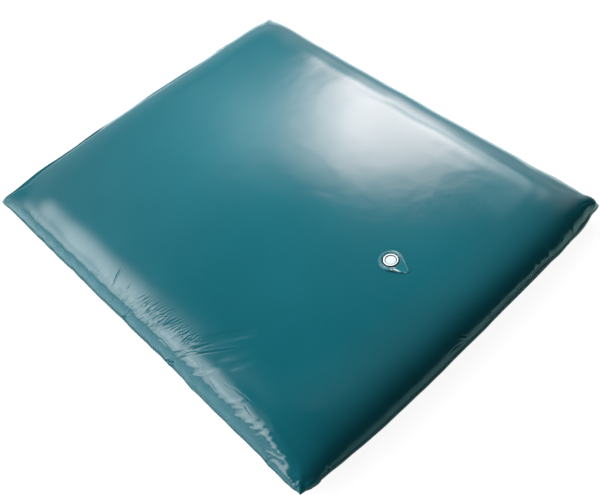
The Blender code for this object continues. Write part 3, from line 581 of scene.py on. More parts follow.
# Folds of the shell, in pixels of the photograph: kind, half width and height in millimetres,
# and the places that the fold runs through, across and down
FOLDS = """
# the long fold with the tuck below it, and the shade above
ridge 3.4 2.0 164,359 175,356 190,353 205,351 218,349 236,347 252,346
valley 2.6 1.3 166,362 180,357 194,354 207,352 216,351
valley 4.0 1.6 162,358 175,353 190,350 204,346 222,342
soft 13 -2.0 200,341 218,338 240,334 262,331
soft 9 -0.8 214,358 232,355 252,351
soft 9 -0.7 224,368 242,364 258,358
ridge 5 0.9 178,349 190,346 202,344
valley 5 5.0 162,363 169,361 175,363
ridge 3.4 0.7 175,367 184,371 192,381 199,389
# creases that run down from the fold
valley 2.4 0.6 194,355 197,362 201,368 208,380 214,389 220,397
ridge 2.6 0.3 198,357 202,367 209,379 216,389 223,397
valley 2.4 0.55 215,376 222,381 228,387 236,390 245,397 254,404 262,410
valley 2.4 0.25 236,388 246,395 258,404 268,413 276,421
valley 2.6 0.7 243,404 247,409 253,417
ridge 2.6 0.3 240,402 244,408 250,417
# dents that break up the reflection below the fold
soft 8 -1.3 178,372 190,372 206,371 222,369
ridge 6 1.0 190,377 202,375 216,371
soft 9 -1.1 200,393 212,400 226,406
ridge 7 1.0 222,404 236,402 248,400
soft 7 -1.3 226,413 238,412 250,413
ridge 5 1.2 242,425 250,422 260,420
valley 4 1.2 238,427 247,427 258,425
ridge 5 1.2 252,431 259,428 267,425
valley 4 1.0 250,434 260,432 270,428
ridge 3.6 0.8 260,438 266,435 274,430
valley 3.4 0.8 258,441 266,439 275,434
ridge 3.6 0.7 262,444 269,441 276,438
valley 5 1.6 260,446 267,450 278,456 290,459
ridge 4 1.4 266,451 272,449 281,449
ridge 3.6 1.1 269,458 275,455 281,452
valley 4 1.0 258,462 267,460 280,459
valley 2.8 0.5 291,452 293,457 292,462
ridge 3.6 0.9 284,481 292,478 300,475
valley 3.4 0.9 286,485 295,482 302,478
ridge 3.4 0.6 290,488 297,485 303,481
soft 22 3.0 258,418 268,431 279,445 289,460 296,474
# strongest creases of the wrinkled stretch
valley 2.2 0.7 123,266 118,274 114,283 111,293
valley 2.4 0.5 108,286 105,294 106,301
valley 3.2 0.7 123,291 117,296 111,303
valley 3.2 0.8 133,293 124,300 115,308
ridge 2.8 0.7 129,309 138,303 152,294
valley 2.4 0.6 124,308 133,302 146,295
valley 2.4 0.6 130,313 141,306 154,298
valley 4.0 1.8 120,322 127,315 137,308
valley 2.4 0.5 143,313 152,307 163,301
valley 2.4 0.5 144,319 155,312 168,305
valley 2.4 0.5 157,319 168,312 183,305
ridge 3.4 1.3 151,331 159,326 169,321 177,316
valley 2.8 1.1 149,329 158,323 168,319
valley 2.8 0.9 154,333 166,327 178,321 186,317
valley 2.6 0.6 166,335 178,330 194,324
valley 2.6 0.6 170,340 182,335 197,331
valley 3.2 0.8 156,337 163,342 168,349
valley 2.4 0.7 178,344 184,341 189,336
valley 2.4 0.6 182,347 188,344 196,342
# short creases at the left tip and along the lower edge
ridge 2.6 0.6 12,205 15,202 18,198
ridge 2.6 0.5 29,216 31,211 34,206
valley 2.4 0.7 40,207 37,216 37,226 40,238
valley 2.4 0.4 47,222 46,232 48,242
valley 2.4 0.4 34,214 32,222 31,230
valley 2.4 0.6 94,267 90,274 87,284
valley 2.4 0.4 99,270 96,277 93,286
valley 5.0 3.0 119,321 123,318 127,315
valley 5.0 3.0 262,464 266,461 272,461
valley 5.0 3.0 331,474 329,470 326,466
# the tuck at the end of the long fold, and the steps of the outline at the foot left tip
valley 4.0 6.0 165,362 170,362 175,363
ridge 2.6 2.8 169,359 184,356 198,353 212,350
valley 2.4 2.0 167,358 178,355 190,352 202,350
soft 14 3.0 222,420 240,439 254,455 259,461
soft 26 9.0 252,453 268,470 282,484 298,498
soft 13 5.0 172,368 192,390 214,412 238,437
soft 18 -7.0 472,340 500,311 536,276 570,243
soft 18 4.0 128,109 160,88 184,73 208,57
soft 14 -3.0 34,172 60,155 90,136 116,118
soft 30 -4.0 512,152 546,173 562,182 584,194
soft 14 3.0 286,486 291,491 296,493
soft 12 6.0 304,489 313,484 323,477
# folds over the dark foot side
fold 4.0 3.0 549,262 548,255 542,243
fold 3.6 2.6 541,268 540,262 537,255
fold 3.6 2.0 535,271 534,266 531,261
fold 3.6 2.4 573,237 573,231 571,224
fold 3.4 1.8 563,246 563,240 560,233
fold 3.4 2.0 500,311 498,304 493,296
fold 3.4 1.8 490,319 489,313 487,308
valley 3.2 2.0 474,340 463,336 450,334
valley 3.2 2.0 472,342 463,343 455,348 446,358
ridge 3.0 1.8 473,339 465,338 454,339
soft 11 6.0 572,240 581,230 588,220 594,211
soft 20 6.0 578,203 588,202 594,201 600,201
valley 3.0 1.2 579,206 586,203 592,204
valley 2.6 0.8 584,199 589,202 593,208
# the gathered stretch of the head side
valley 4.0 2.6 209,55 220,49 231,45 243,42
valley 3.0 1.2 214,54 227,49 240,45
ridge 4.0 1.6 211,52 221,47 232,42
valley 3.4 1.0 202,61 209,58 216,57
valley 3.0 0.9 229,41 238,38 246,35
valley 3.0 0.8 251,29 256,28 260,29
"""

# Fields of small creases: the line they lie along, how far they spread from it, their angle
# and its spread in degrees, their length in pixels, half width and height in millimetres, count
CREASE_FIELDS = (
    (((22, 208), (36, 222), (50, 236)), 6, 76, 7, (7, 17), (2.2, 3.2), (0.10, 0.35), 34),
    (((52, 240), (76, 262), (100, 288)), 4, 66, 8, (6, 14), (2.2, 3.2), (0.06, 0.20), 30),
    (((96, 272), (112, 286), (124, 298)), 7, 54, 7, (8, 20), (2.2, 3.2), (0.08, 0.30), 34),
    (((124, 298), (142, 311), (160, 322)), 8, 33, 5, (10, 30), (2.0, 3.2), (0.14, 0.50), 80),
    (((158, 324), (176, 334), (196, 342)), 7, 22, 5, (10, 30), (2.0, 3.2), (0.14, 0.50), 70),
    (((180, 362), (204, 388), (236, 414)), 7, 14, 10, (8, 26), (3.0, 6.0), (0.10, 0.35), 26),
    (((236, 414), (262, 440), (284, 466)), 6, 24, 12, (8, 20), (2.6, 4.5), (0.15, 0.50), 26),
    (((282, 468), (296, 484)), 5, 24, 12, (6, 14), (2.6, 4.0), (0.1, 0.35), 8),
)


# The shell is drawn flat towards its tips: across, along, depth, reach, and how far in from both sides
CORNER_SINKS = ((-1, 1, 0.003, 0.08, 0.07), (1, 1, 0.006, 0.10, 0.10), (1, -1, 0.004, 0.10, 0.10),
                (-1, -1, 0.006, 0.10, 0.10))
# and a ridge runs out to each tip: across, along, height, half width and reach
TIP_RIDGES = ((-1, 1, 0.006, 0.026, 0.07), (1, 1, 0.012, 0.018, 0.08), (1, -1, 0.011, 0.026, 0.05),
              (-1, -1, 0.004, 0.012, 0.04))
# Unevenness by the sides: its height, how far in it reaches, and its waves as their number and
# their shortest and longest length; then that of the rest, which is calm round the valve
SIDE_SWAYS = ((0.0012, 0.16, (9, 0.16, 0.45)), (0.0009, 0.03, (9, 0.06, 0.22)))
TOP_SWAY, TOP_WAVES, VALVE_CALM = 0.0006, (6, 0.5, 1.1), 0.30


def shape_shell():
    """The unevenness, folds and creases of the filled shell."""
    side = np.minimum(HALF_X - abs(X0), HALF_Y - abs(Y0))
    valve = np.hypot(BASE[..., 0], BASE[..., 1] - VALVE_Y)
    for height, reach, waves in SIDE_SWAYS:
        RAISED[:] += height * np.exp(-(side / reach) ** 2) * sway(X0, Y0, *waves)
    RAISED[:] += TOP_SWAY * sway(X0, Y0, *TOP_WAVES) * (1 - np.exp(-(valve / VALVE_CALM) ** 2))
    for across, along, depth, reach, inset in CORNER_SINKS:
        tip = np.hypot(X0 - across * (HALF_X - inset), Y0 - along * (HALF_Y - inset))
        RAISED[:] -= depth * np.exp(-(tip / reach) ** 2)
    for across, along, height, wide, reach in TIP_RIDGES:
        dx, dy = HALF_X - across * X0, HALF_Y - along * Y0
        RAISED[:] += height * np.exp(-((dx - dy) / wide / math.sqrt(2)) ** 2 - ((dx + dy) / 2 / reach) ** 2)
    for kind, width, height, *places in map(str.split, FOLDS.strip().splitlines()):
        if kind != "#":
            pixels = [[float(part) for part in place.split(",")] for place in places]
            stroke(pixels, float(width) * MM, float(height) * MM, kind)
    for crease_field in CREASE_FIELDS:
        field(*crease_field)


# Meshes

def make_mesh(name, points, faces):
    mesh = bpy.data.meshes.new(name)
    points = np.asarray(points, np.float32).reshape(-1, 3)
    mesh.vertices.add(len(points))
    mesh.vertices.foreach_set("co", points.ravel())
    loops = np.concatenate([*faces]).astype(np.int32)
    ends = np.cumsum([len(face) for face in faces])
    mesh.loops.add(len(loops))
    mesh.loops.foreach_set("vertex_index", loops)
    mesh.polygons.add(len(ends))
    mesh.polygons.foreach_set("loop_start", np.append(0, ends[:-1]).astype(np.int32))
    mesh.update(calc_edges=True)
    mesh.validate()
    mesh.shade_smooth()
    return link(bpy.data.objects.new(name, mesh))


def numbered(rows, columns):
    return np.arange(rows * columns).reshape(rows, columns)


def grid_faces(columns, rows):
    index = numbered(columns, rows)
    quads = np.stack([index[:-1, :-1], index[1:, :-1], index[1:, 1:], index[:-1, 1:]], -1)
    return quads.reshape(-1, 4)


def bands(index):
    """Faces between the rows of a grid that closes on itself along each row."""
    after = np.roll(index, -1, axis=1)
    return np.stack([index[:-1], after[:-1], after[1:], index[1:]], -1).reshape(-1, 4)


def lifted(x, y):
    """How far the shell is raised at any place of its plan, read from the grid."""
    i = np.interp(x, XS, np.arange(len(XS)))
    j = np.interp(y, YS, np.arange(len(YS)))
    i0, j0 = np.minimum(i.astype(int), len(XS) - 2), np.minimum(j.astype(int), len(YS) - 2)
    fi, fj = i - i0, j - j0
    return (RAISED[i0, j0] * (1 - fi) * (1 - fj) + RAISED[i0 + 1, j0] * fi * (1 - fj)
            + RAISED[i0, j0 + 1] * (1 - fi) * fj + RAISED[i0 + 1, j0 + 1] * fi * fj)


def weld(obj):
    bm = bmesh.new()
    bm.from_mesh(obj.data)
    bmesh.ops.remove_doubles(bm, verts=bm.verts, dist=WELD_DISTANCE)
    bmesh.ops.dissolve_degenerate(bm, edges=bm.edges, dist=WELD_DISTANCE)
    bm.to_mesh(obj.data)
    bm.free()
    return obj


def make_top():
    """The top sheet, with the valve's hole cut round."""
    points = BASE + NORMALS * RAISED[..., None]
    valve = np.array((0, VALVE_Y))
    inside = (np.linalg.norm(points[..., :2] - valve, axis=-1) < HOLE_RADIUS).ravel()
    faces = grid_faces(*X0.shape)
    keep = ~inside[faces].any(-1)
    edge = np.zeros(inside.shape, bool)
    edge[np.unique(faces[~keep])] = True
    edge &= ~inside
    flat = points.reshape(-1, 3)
    flat[edge, :2] = valve + unit(flat[edge, :2] - valve) * HOLE_RADIUS
    used, renumbered = np.unique(faces[keep], return_inverse=True)
    return make_mesh("vinyl_top", flat[used], renumbered.reshape(-1, 4))


def perimeter():
    """Places of the widest line, once round, counter-clockwise from the foot left tip."""
    xs, ys = (np.append(line[:-1:2], line[-1]) for line in (XS, YS))
    foot = [(x, -HALF_Y) for x in xs[:-1]]
    right = [(HALF_X, y) for y in ys[:-1]]
    head = [(x, HALF_Y) for x in xs[:0:-1]]
    left = [(-HALF_X, y) for y in ys[:0:-1]]
    return np.array(foot + right + head + left)


def lap_inset(share, reach, power):
    """How far in from a side the top has climbed that share of the lap."""
    climbed = share * LAP / (DEPTH - SEAM_HEIGHT)
    return reach * (1 - (1 - climbed ** 2) ** (1 / power))


def make_bottom():
    """The belly, with the lap that its edge makes over the top sheet."""
    rim = perimeter()
    out_way = np.stack([rim[:, 0] / HALF_X, rim[:, 1] / HALF_Y, 0 * rim[:, 0]], -1)
    out_way = unit(out_way ** OUTWARD_POWER)

    def inside(left, right, foot, head):
        x = np.clip(rim[:, 0], left - HALF_X, HALF_X - right)
        return x, np.clip(rim[:, 1], foot - HALF_Y, HALF_Y - head)

    def lap_row(share, out):
        rolls = (LEFT_ROLL, RIGHT_ROLL, FOOT_ROLL, HEAD_ROLL)
        x, y = inside(*[lap_inset(share, *side) for side in rolls])
        return crown(x, y) + out_way * (lifted(x, y) + out)[:, None]

    rows = [lap_row(1.0, GAP / 2), *[lap_row(share, LAP_STEP) for share in LAP_ROWS]]
    raised = lifted(rim[:, 0], rim[:, 1])
    for angle in np.linspace(0, QUARTER, BELLY_STEPS)[1:]:
        x, y = inside(*[BOTTOM_ROLL * (1 - math.cos(angle))] * 4)
        rows.append(belly(x, y) + out_way * (raised * math.cos(angle) ** 2)[:, None])
    index = numbered(len(rows), len(rim))
    faces = [*bands(index)[:, (0, 3, 2, 1)], index[-1][::-1]]
    return weld(make_mesh("vinyl_bottom", np.array(rows), faces))


def slab(name, upper, lower):
    """A closed body between two grids of the same shape."""
    columns, rows = upper.shape[:2]
    count = columns * rows
    index = numbered(columns, rows)
    quads = grid_faces(columns, rows)
    rim = np.concatenate([index[:-1, 0], index[-1, :-1], index[:0:-1, -1], index[0, :0:-1]])
    after = np.roll(rim, -1)
    sides = np.stack([rim, rim + count, after + count, after], -1)
    points = np.concatenate([upper.reshape(-1, 3), lower.reshape(-1, 3)])
    return make_mesh(name, points, np.concatenate([quads, quads[:, ::-1] + count, sides]))


def make_gusset(name, side, end):
    """A corner's reinforcement, which follows the shell's folds from inside."""
    across = np.flatnonzero((side * XS > HALF_X - GUSSET_REACH) & (side * XS < HALF_X - GUSSET_EDGE))
    along = np.flatnonzero((end * YS > HALF_Y - GUSSET_REACH) & (end * YS < HALF_Y - GUSSET_EDGE))
    patch = np.ix_(across[::GUSSET_STRIDE], along[::GUSSET_STRIDE])
    outer = BASE[patch] + NORMALS[patch] * (RAISED[patch] - WALL - GAP)[..., None]
    return slab(name, outer, outer - NORMALS[patch] * WALL)


def least_raised(x, y):
    """The lowest the shell is raised in a small neighbourhood."""
    steps = (-WATER_ROOM, 0, WATER_ROOM)
    return np.min([lifted(x + a, y + b) for a in steps for b in steps], axis=0)


def make_water():
    """The water: up to the shell, over the fibre pack, and clear of the valve."""
    def lines(half, middle, centre, pack):
        near = middle + np.linspace(-POCKET_SPAN, POCKET_SPAN, POCKET_STEPS) * POCKET_RADIUS
        edge = half - round_steps(BOTTOM_ROLL, WATER_EDGE_STEPS, WATER_EDGE_FROM)
        flat = np.linspace(-half + BOTTOM_ROLL, half - BOTTOM_ROLL, WATER_FLAT_STEPS)
        walls = [centre + way * (pack + d) for way in (-1, 1) for d in (0, PACK_WALL)]
        return np.unique(np.round([*near, *-edge, *edge, *flat, *walls], WATER_DIGITS))
    pack_x, pack_y = FIBRE_X + GAP, FIBRE_Y + GAP
    xs, ys = lines(HALF_X, 0, 0, pack_x), lines(HALF_Y, VALVE_Y, CENTRE_Y, pack_y)
    x, y = np.meshgrid(xs, ys, indexing="ij")
    away = np.hypot(x, y - VALVE_Y)
    near = abs(away - POCKET_RADIUS) < POCKET_SNAP * POCKET_RADIUS
    scale = np.where(near, POCKET_RADIUS / np.maximum(away, GAP), 1)
    x, y = x * scale, VALVE_Y + (y - VALVE_Y) * scale
    upper = crown(x, y, WATER_INSET)
    upper = upper + grid_normals(upper) * (np.minimum(least_raised(x, y), 0))[..., None]
    pocket = np.hypot(x, y - VALVE_Y) < POCKET_MARGIN * POCKET_RADIUS
    upper[..., 2] = np.where(pocket, POCKET_FLOOR, upper[..., 2])
    lower = belly(x, y, WATER_INSET, WATER_INSET)
    on_pack = (abs(x) < pack_x + GAP / 2) & (abs(y - CENTRE_Y) < pack_y + GAP / 2)
    by_pack = (abs(x) < STRAP_END + GAP) & (abs(y - CENTRE_Y) < FIBRE_Y)
    floor = np.where(on_pack, PACK_TOP + OVER_PACK, np.where(by_pack, STRAP_FOOT_Z + OVER_TAB, 0))
    lower[..., 2] = np.minimum(np.maximum(lower[..., 2], floor), upper[..., 2] - GAP)
    return slab("water", upper, lower)


def make_fibre(name, base):
    """A layer of fibre batting, with soft rounded edges and a lightly wavy face."""
    def lines(half, steps):
        edge = round_steps(FIBRE_CORNER, FIBRE_EDGE_STEPS)
        inner = half - FIBRE_CORNER
        return np.concatenate([edge - half, np.linspace(-inner, inner, steps)[1:-1], (half - edge)[::-1]])
    shares = lines(FIBRE_X, FIBRE_STEPS_X) / FIBRE_X
    u, y = np.meshgrid(shares, lines(FIBRE_Y, FIBRE_STEPS_Y), indexing="ij")
    round_part = np.maximum(abs(y) - (FIBRE_Y - FIBRE_CORNER), 0)
    half = FIBRE_X - FIBRE_CORNER + np.sqrt(np.maximum(FIBRE_CORNER ** 2 - round_part ** 2, 0))
    x = u * half
    inward = np.minimum(half * (1 - abs(u)), FIBRE_Y - abs(y))
    edge = np.sqrt(1 - np.clip(1 - inward / FIBRE_ROUND, 0, 1) ** 2)
    full = 0.5 * (FIBRE_THICKNESS - FIBRE_ROOM) * (FIBRE_EDGE + (1 - FIBRE_EDGE) * edge)
    middle = base + FIBRE_THICKNESS / 2
    faces = []
    for way in (1, -1):
        wave = FIBRE_WAVE * np.clip(sway(x, y, *FIBRE_WAVES), -WAVE_TOP, WAVE_TOP)
        faces.append(np.stack([x, y + CENTRE_Y, middle + way * full + wave], -1))
    return slab(name, *faces)


def swept(name, path, ways, outline):
    """A closed body: an outline of (aside, up) points carried along a path."""
    rings = np.array([p + aside * a + up * b for p, (aside, up) in zip(path, ways) for a, b in outline])
    index = numbered(len(path), len(outline))
    return make_mesh(name, rings, [*bands(index), index[0][::-1], index[-1]])


def make_strap(name, side, end):
    """Webbing over the pack, down its side and out onto the weld tab, bent round its corners."""
    corners = np.array(((FIBRE_X - STRAP_OVER, STRAP_TOP_Z), (STRAP_RISER, STRAP_TOP_Z),
                        (STRAP_RISER, STRAP_FOOT_Z), (STRAP_END, STRAP_FOOT_Z)))
    route = [corners[0]]
    for before, corner, after in zip(corners, corners[1:], corners[2:]):
        start = corner + unit(before - corner) * STRAP_BEND
        stop = corner + unit(after - corner) * STRAP_BEND
        for t in np.linspace(0, 1, BEND_STEPS):
            route.append((1 - t) ** 2 * start + 2 * t * (1 - t) * corner + t * t * stop)
    route.append(corners[-1])
    flat = []
    for a, b in zip(route, route[1:]):
        pieces = max(int(np.linalg.norm(b - a) / WEFT_PITCH), 1)
        flat += [a + (b - a) * k / pieces for k in range(pieces)]
    flat = np.array([*flat, route[-1]])
    along = unit(np.gradient(flat, axis=0))
    y = CENTRE_Y + end * STRAP_Y
    path = np.stack([side * flat[:, 0], np.full(len(flat), y), flat[:, 1]], -1)
    ups = np.stack([-side * along[:, 1], 0 * along[:, 0], along[:, 0]], -1)
    aside = np.array((0, 1.0, 0))
    outline = []
    for k in range(2 * RIBS + 1):
        share = k / RIBS - 1
        swell = 1 if k % 2 else RIB_FOOT
        edge = min(1, HEM_SLOPE * (1 - abs(share)) + HEM)
        outline.append((-share * STRAP_WIDTH / 2, STRAP_THICKNESS / 2 * swell * edge))
    outline += [(a, -b) for a, b in outline[::-1]]
    if side < 0:
        outline = outline[::-1]
    return swept(name, path, [(aside, up) for up in ups], outline)


def plate_reach(angle):
    """The teardrop's reach from the valve's axis, and the angles where its line starts and ends."""
    lean = math.acos((FLANGE_RADIUS - LOBE_RADIUS) / LOBE_CENTRE)
    tip = math.atan2(LOBE_RADIUS * math.sin(lean), LOBE_CENTRE + LOBE_RADIUS * math.cos(lean))
    off = abs(angle)
    line = FLANGE_RADIUS / np.cos(np.clip(off - lean, -NEARLY_QUARTER, 0))
    inner = np.maximum(LOBE_RADIUS ** 2 - (LOBE_CENTRE * np.sin(np.minimum(off, tip))) ** 2, 0)
    lobe = LOBE_CENTRE * np.cos(off) + np.sqrt(inner)
    return np.where(off >= lean, FLANGE_RADIUS, np.where(off < tip, lobe, line)), lean, tip


def cut_lobe(plate):
    """The small hole in the plate's lobe."""
    cutter = round_object("lobe_bore", bmesh.ops.create_cone, segments=LOBE_HOLE_SIDES, radius1=LOBE_HOLE,
                          radius2=LOBE_HOLE, depth=LOBE_HOLE_DEPTH)
    cutter.location = (0, VALVE_Y - LOBE_HOLE_PLACE, PLATE_TOP)
    cutting = plate.modifiers.new("lobe_hole", "BOOLEAN")
    cutting.object = cutter
    bpy.context.view_layer.update()
    graph = bpy.context.evaluated_depsgraph_get()
    plate.data = bpy.data.meshes.new_from_object(plate.evaluated_get(graph))
    plate.modifiers.clear()
    bpy.data.objects.remove(cutter)
    return plate


def make_plate():
    """The valve's plate, bead, ridges and well, with the near edge of the plate curled up."""
    _, lean, tip = plate_reach(np.zeros(1))
    half = np.concatenate([np.linspace(0, tip, TIP_STEPS)[:-1], np.linspace(tip, lean, LOBE_STEPS)[:-1],
                           np.linspace(lean, math.pi, ROUND_STEPS)])
    angles = np.concatenate([-half[:0:-1], half[:-1]])
    reach, _, _ = plate_reach(angles)
    rows = []

    def row(radius, height, curled=True):
        away = np.broadcast_to(radius, angles.shape)
        x, y = -away * np.sin(angles), VALVE_Y - away * np.cos(angles)
        along = np.clip((away - HOLE_RADIUS) / np.maximum(reach - HOLE_RADIUS, GAP), 0, 1)
        inward = reach - away
        window = np.exp(-((np.degrees(angles) - CURL_ANGLE) / CURL_SPREAD) ** 2)
        lift = CURL * window * np.clip(1 - inward / CURL_REACH, 0, 1) ** 2 * (along > 0)
        lobe = np.exp(-(np.degrees(angles) / LOBE_SPREAD) ** 2)
        crest = CREST * (1 - lobe) * np.exp(-((inward - CREST_PLACE) / CREST_WIDTH) ** 2)
        droop = DROOP * np.sin(3 * angles + 1) * along
        y = y + TIP_DRAW * lobe * np.maximum(away - FLANGE_RADIUS, 0)
        rows.append(np.stack([x, y, height + (lift + droop + crest) * curled], -1))

    for a in np.linspace(-QUARTER, math.pi, BEAD_STEPS):
        row(reach - BEAD_RADIUS + BEAD_RADIUS * math.cos(a), PLATE_BASE + BEAD_RADIUS * (1 + math.sin(a)))
    inner = reach - 2 * BEAD_RADIUS
    for share in np.linspace(*PLATE_STEPS):
        row(inner + (RIDGE_FIELD - inner) * share, PLATE_TOP)
    for radius in np.linspace(RIDGE_FIELD, WELL_RADIUS + MOUTH, RIDGE_STEPS)[1:]:
        rise = sum(math.exp(-((radius - place) / (RIDGE_SLOPE * RIDGE_WIDTH)) ** 2) for place in RIDGES)
        row(radius, PLATE_TOP + RIDGE_HEIGHT * rise)
    for a in np.linspace(0, QUARTER, MOUTH_STEPS)[1:]:
        row(WELL_RADIUS + MOUTH * (1 - math.sin(a)), PLATE_TOP - MOUTH * (1 - math.cos(a)), False)
    for radius, height in WELL_PROFILE:
        row(radius, height, False)
    for share in np.linspace(0, 1, UNDER_STEPS)[1:-1]:
        row(WELL_OUTER + (inner - WELL_OUTER) * share, PLATE_BASE)
    index = numbered(len(rows), len(angles))
    return cut_lobe(make_mesh("valve_plate", np.array(rows), bands(np.vstack([index, index[:1]]))))


# Materials

# Noises: scale, detail, roughness and distortion; most values of a noise lie between CLOUDS
CLOUDS = (0.3, 0.7)
SLOW, FINE, GRAIN, SLACK = (2.2, 3.0, 0.55), (90.0, 3.0, 0.6), (700.0, 2.0, 0.6), (9.0, 1.6, 0.45, 0.3)
PLATE_CLOUD, PLATE_GRAIN, PLASTIC_CLOUD, PLASTIC_GRAIN = (160.0, 3.0), 900.0, (120.0, 3.0), 500.0
FIBRE_STRETCH = {"Scale": (1.0, 3.5, 1.0), "Rotation": (0, 0, 0.5)}
STRANDS, TUFTS, WATER_CLOUD = (180.0, 5.0, 0.7, 1.5), (26.0, 3.0), (3.0, 3.0)
# Bumps: distance and strength
FINE_BUMP, GRAIN_BUMP, SLACK_BUMP = (0.00004, 1.0), (0.00001, 0.3), (0.0004, 1.0)
PLATE_BUMP, PLASTIC_BUMP = (0.00002, 0.4), (0.00004, 0.5)
FIBRE_BUMP, WEAVE_BUMP = (0.0006, 0.8), (0.0003, 0.7)
# Roughness where a noise is low, and where it is high
PLATE_ROUGH, WATER_ROUGH, FIBRE_ROUGH, WEAVE_ROUGH = (0.03, 0.06), (0.01, 0.04), (0.85, 0.97), (0.8, 0.6)
# Colours, darker and lighter
VINYL = ((0.0046, 0.0785, 0.1005, 1), (0.0054, 0.0925, 0.119, 1))
GUSSET_VINYL = ((0.005, 0.085, 0.110, 1), (0.006, 0.105, 0.135, 1))
# the plate's colours, then the shade painted down in its well and on its underside
PLATE, PLATE_PAINTED_SHADE = ((0.008, 0.105, 0.130, 1), (0.014, 0.135, 0.165, 1)), (0.002, 0.018, 0.024, 1)
BATTING = ((0.62, 0.62, 0.58, 1), (0.86, 0.86, 0.82, 1))
CLOTH = ((0.55, 0.56, 0.54, 1), (0.82, 0.82, 0.79, 1))
WATER = ((0.60, 0.83, 0.87, 1), (0.78, 0.93, 0.95, 1))
# Painted shade in the cap disc's groove and low on the cap ring's skirt
GROOVE_PAINTED_SHADE, SKIRT_PAINTED_SHADE = (0.02, 0.025, 0.03, 1), (0.03, 0.035, 0.04, 1)
VINYL_GLOSS, GUSSET_GLOSS = 0.09, 0.2
VINYL_SHARES = (0.8, 0.2)              # of the slow noise and the fine one in the colour
VINYL_SPREAD, PLASTIC_SPREAD = (0.02, 0.03), (0.04, 0.05)     # of the roughness, down and up
PLASTIC_CLOUDS, PLASTIC_SHADE = (0.35, 0.65), 0.9
UNDERSIDE = (0.45, 0.1)                # how far up a face looks, where the plate's painted shade sets in
# Softness of the edges of the painted shade in the well, in the groove and on the skirt
WELL_SHADE_EDGE, GROOVE_EDGE, SKIRT_SHADE_EDGE = 0.0004, 0.0003, 0.0006
WEAVE_SCALE, WEAVE_DISTORTION = 60.0, 0.6
# The pieces of moulded plastic: node, material, colour, roughness, and where painted shade starts:
# beyond a radius, or below a height
PLASTICS = (
    ("cap_ring", "cap_white", (0.60, 0.68, 0.71), 0.3, None, CAP_TOP - 0.0009),
    ("cap_disc", "disc_blue", (0.46, 0.54, 0.59), 0.35, DISC_RADIUS - 0.0014, None),
    ("valve_neck", "neck_white", (0.70, 0.72, 0.73), 0.35, None, None),
    ("plug", "plug_white", (0.66, 0.70, 0.72), 0.4, None, None),
    ("cap_gasket", "gasket_rubber", (0.04, 0.04, 0.045), 0.6, None, None),
)


class Surface(Graph):
    """The node tree of a principled material."""

    def __init__(self, name, **sockets):
        self.material = bpy.data.materials.new(name)
        self.material.use_nodes = True
        super().__init__(self.material.node_tree)
        self.place = self.node("ShaderNodeTexCoord").outputs["Object"]
        self.look(**sockets)

    def look(self, **sockets):
        """Put the shader's sockets, whose names have a space for each underscore."""
        shader = self.tree.nodes["Principled BSDF"]
        for socket, value in sockets.items():
            self.put(shader.inputs[socket.replace("_", " ")], value)
        return self.material

    def cloud(self, *kind):
        return self.noise(self.place, *kind)

    def near_valve(self, shift=0.0):
        """Distance from the valve's axis, or from one a little off it."""
        x, y, _ = self.axes(self.place)
        across, off = self.less(x, shift), self.less(y, VALVE_Y + shift)
        return self.math("SQRT", self.add(self.times(across, across), self.times(off, off)))


def paint(obj, material):
    obj.data.materials.clear()
    obj.data.materials.append(material)


def vinyl_material(name, colours, gloss):
    skin = Surface(name, IOR=1.40)
    slow, fine = skin.cloud(*SLOW), skin.cloud(*FINE)
    tint = skin.add(*[skin.ramp(n, *CLOUDS, 0.0, share) for n, share in zip((slow, fine), VINYL_SHARES)])
    down, up = VINYL_SPREAD
    pits = skin.bump(skin.cloud(*GRAIN), *GRAIN_BUMP, skin.bump(fine, *FINE_BUMP))
    return skin.look(Base_Color=skin.mix(tint, *colours),
                     Roughness=skin.ramp(fine, *CLOUDS, gloss - down, gloss + up),
                     Normal=skin.bump(skin.cloud(*SLACK), *SLACK_BUMP, pits))


def plate_material():
    """The glossy plate, with shade painted dark down in its well and on its underside."""
    skin = Surface("plate_vinyl", IOR=1.60)
    cloud = skin.cloud(*PLATE_CLOUD)
    deep = skin.ramp(skin.near_valve(), WELL_OUTER + WELL_SHADE_EDGE, WELL_OUTER - WELL_SHADE_EDGE)
    _, _, up = skin.axes(skin.node("ShaderNodeTexCoord").outputs["Normal"])
    # painted shade in the well and on faces that look down
    under = skin.math("MAXIMUM", deep, skin.ramp(up, *UNDERSIDE))
    return skin.look(Base_Color=skin.mix(under, skin.mix(skin.ramp(cloud, *CLOUDS), *PLATE), PLATE_PAINTED_SHADE),
                     Roughness=skin.ramp(cloud, *CLOUDS, *PLATE_ROUGH),
                     Normal=skin.bump(skin.cloud(PLATE_GRAIN), *PLATE_BUMP))


def plain_plastic(name, colour, rough, groove, shaded_below):
    """Moulded plastic, with shade painted dark beyond a groove's radius or below a height where these are
    given.
    """
    skin = Surface(name)
    cloud = skin.cloud(*PLASTIC_CLOUD)
    darker = tuple(PLASTIC_SHADE * c for c in colour)
    tint = skin.mix(skin.ramp(cloud, *PLASTIC_CLOUDS), (*darker, 1), (*colour, 1))
    if groove:
        # painted shade in the groove
        beyond = skin.ramp(skin.near_valve(GROOVE_SHIFT), groove, groove + GROOVE_EDGE)
        tint = skin.mix(beyond, tint, GROOVE_PAINTED_SHADE)
    if shaded_below:
        # painted shade low on the skirt
        _, _, height = skin.axes(skin.place)
        tint = skin.mix(skin.ramp(height, shaded_below, shaded_below - SKIRT_SHADE_EDGE), tint, SKIRT_PAINTED_SHADE)
    down, up = PLASTIC_SPREAD
    return skin.look(Base_Color=tint, Roughness=skin.ramp(cloud, *CLOUDS, rough - down, rough + up),
                     Normal=skin.bump(skin.cloud(PLASTIC_GRAIN), *PLASTIC_BUMP))


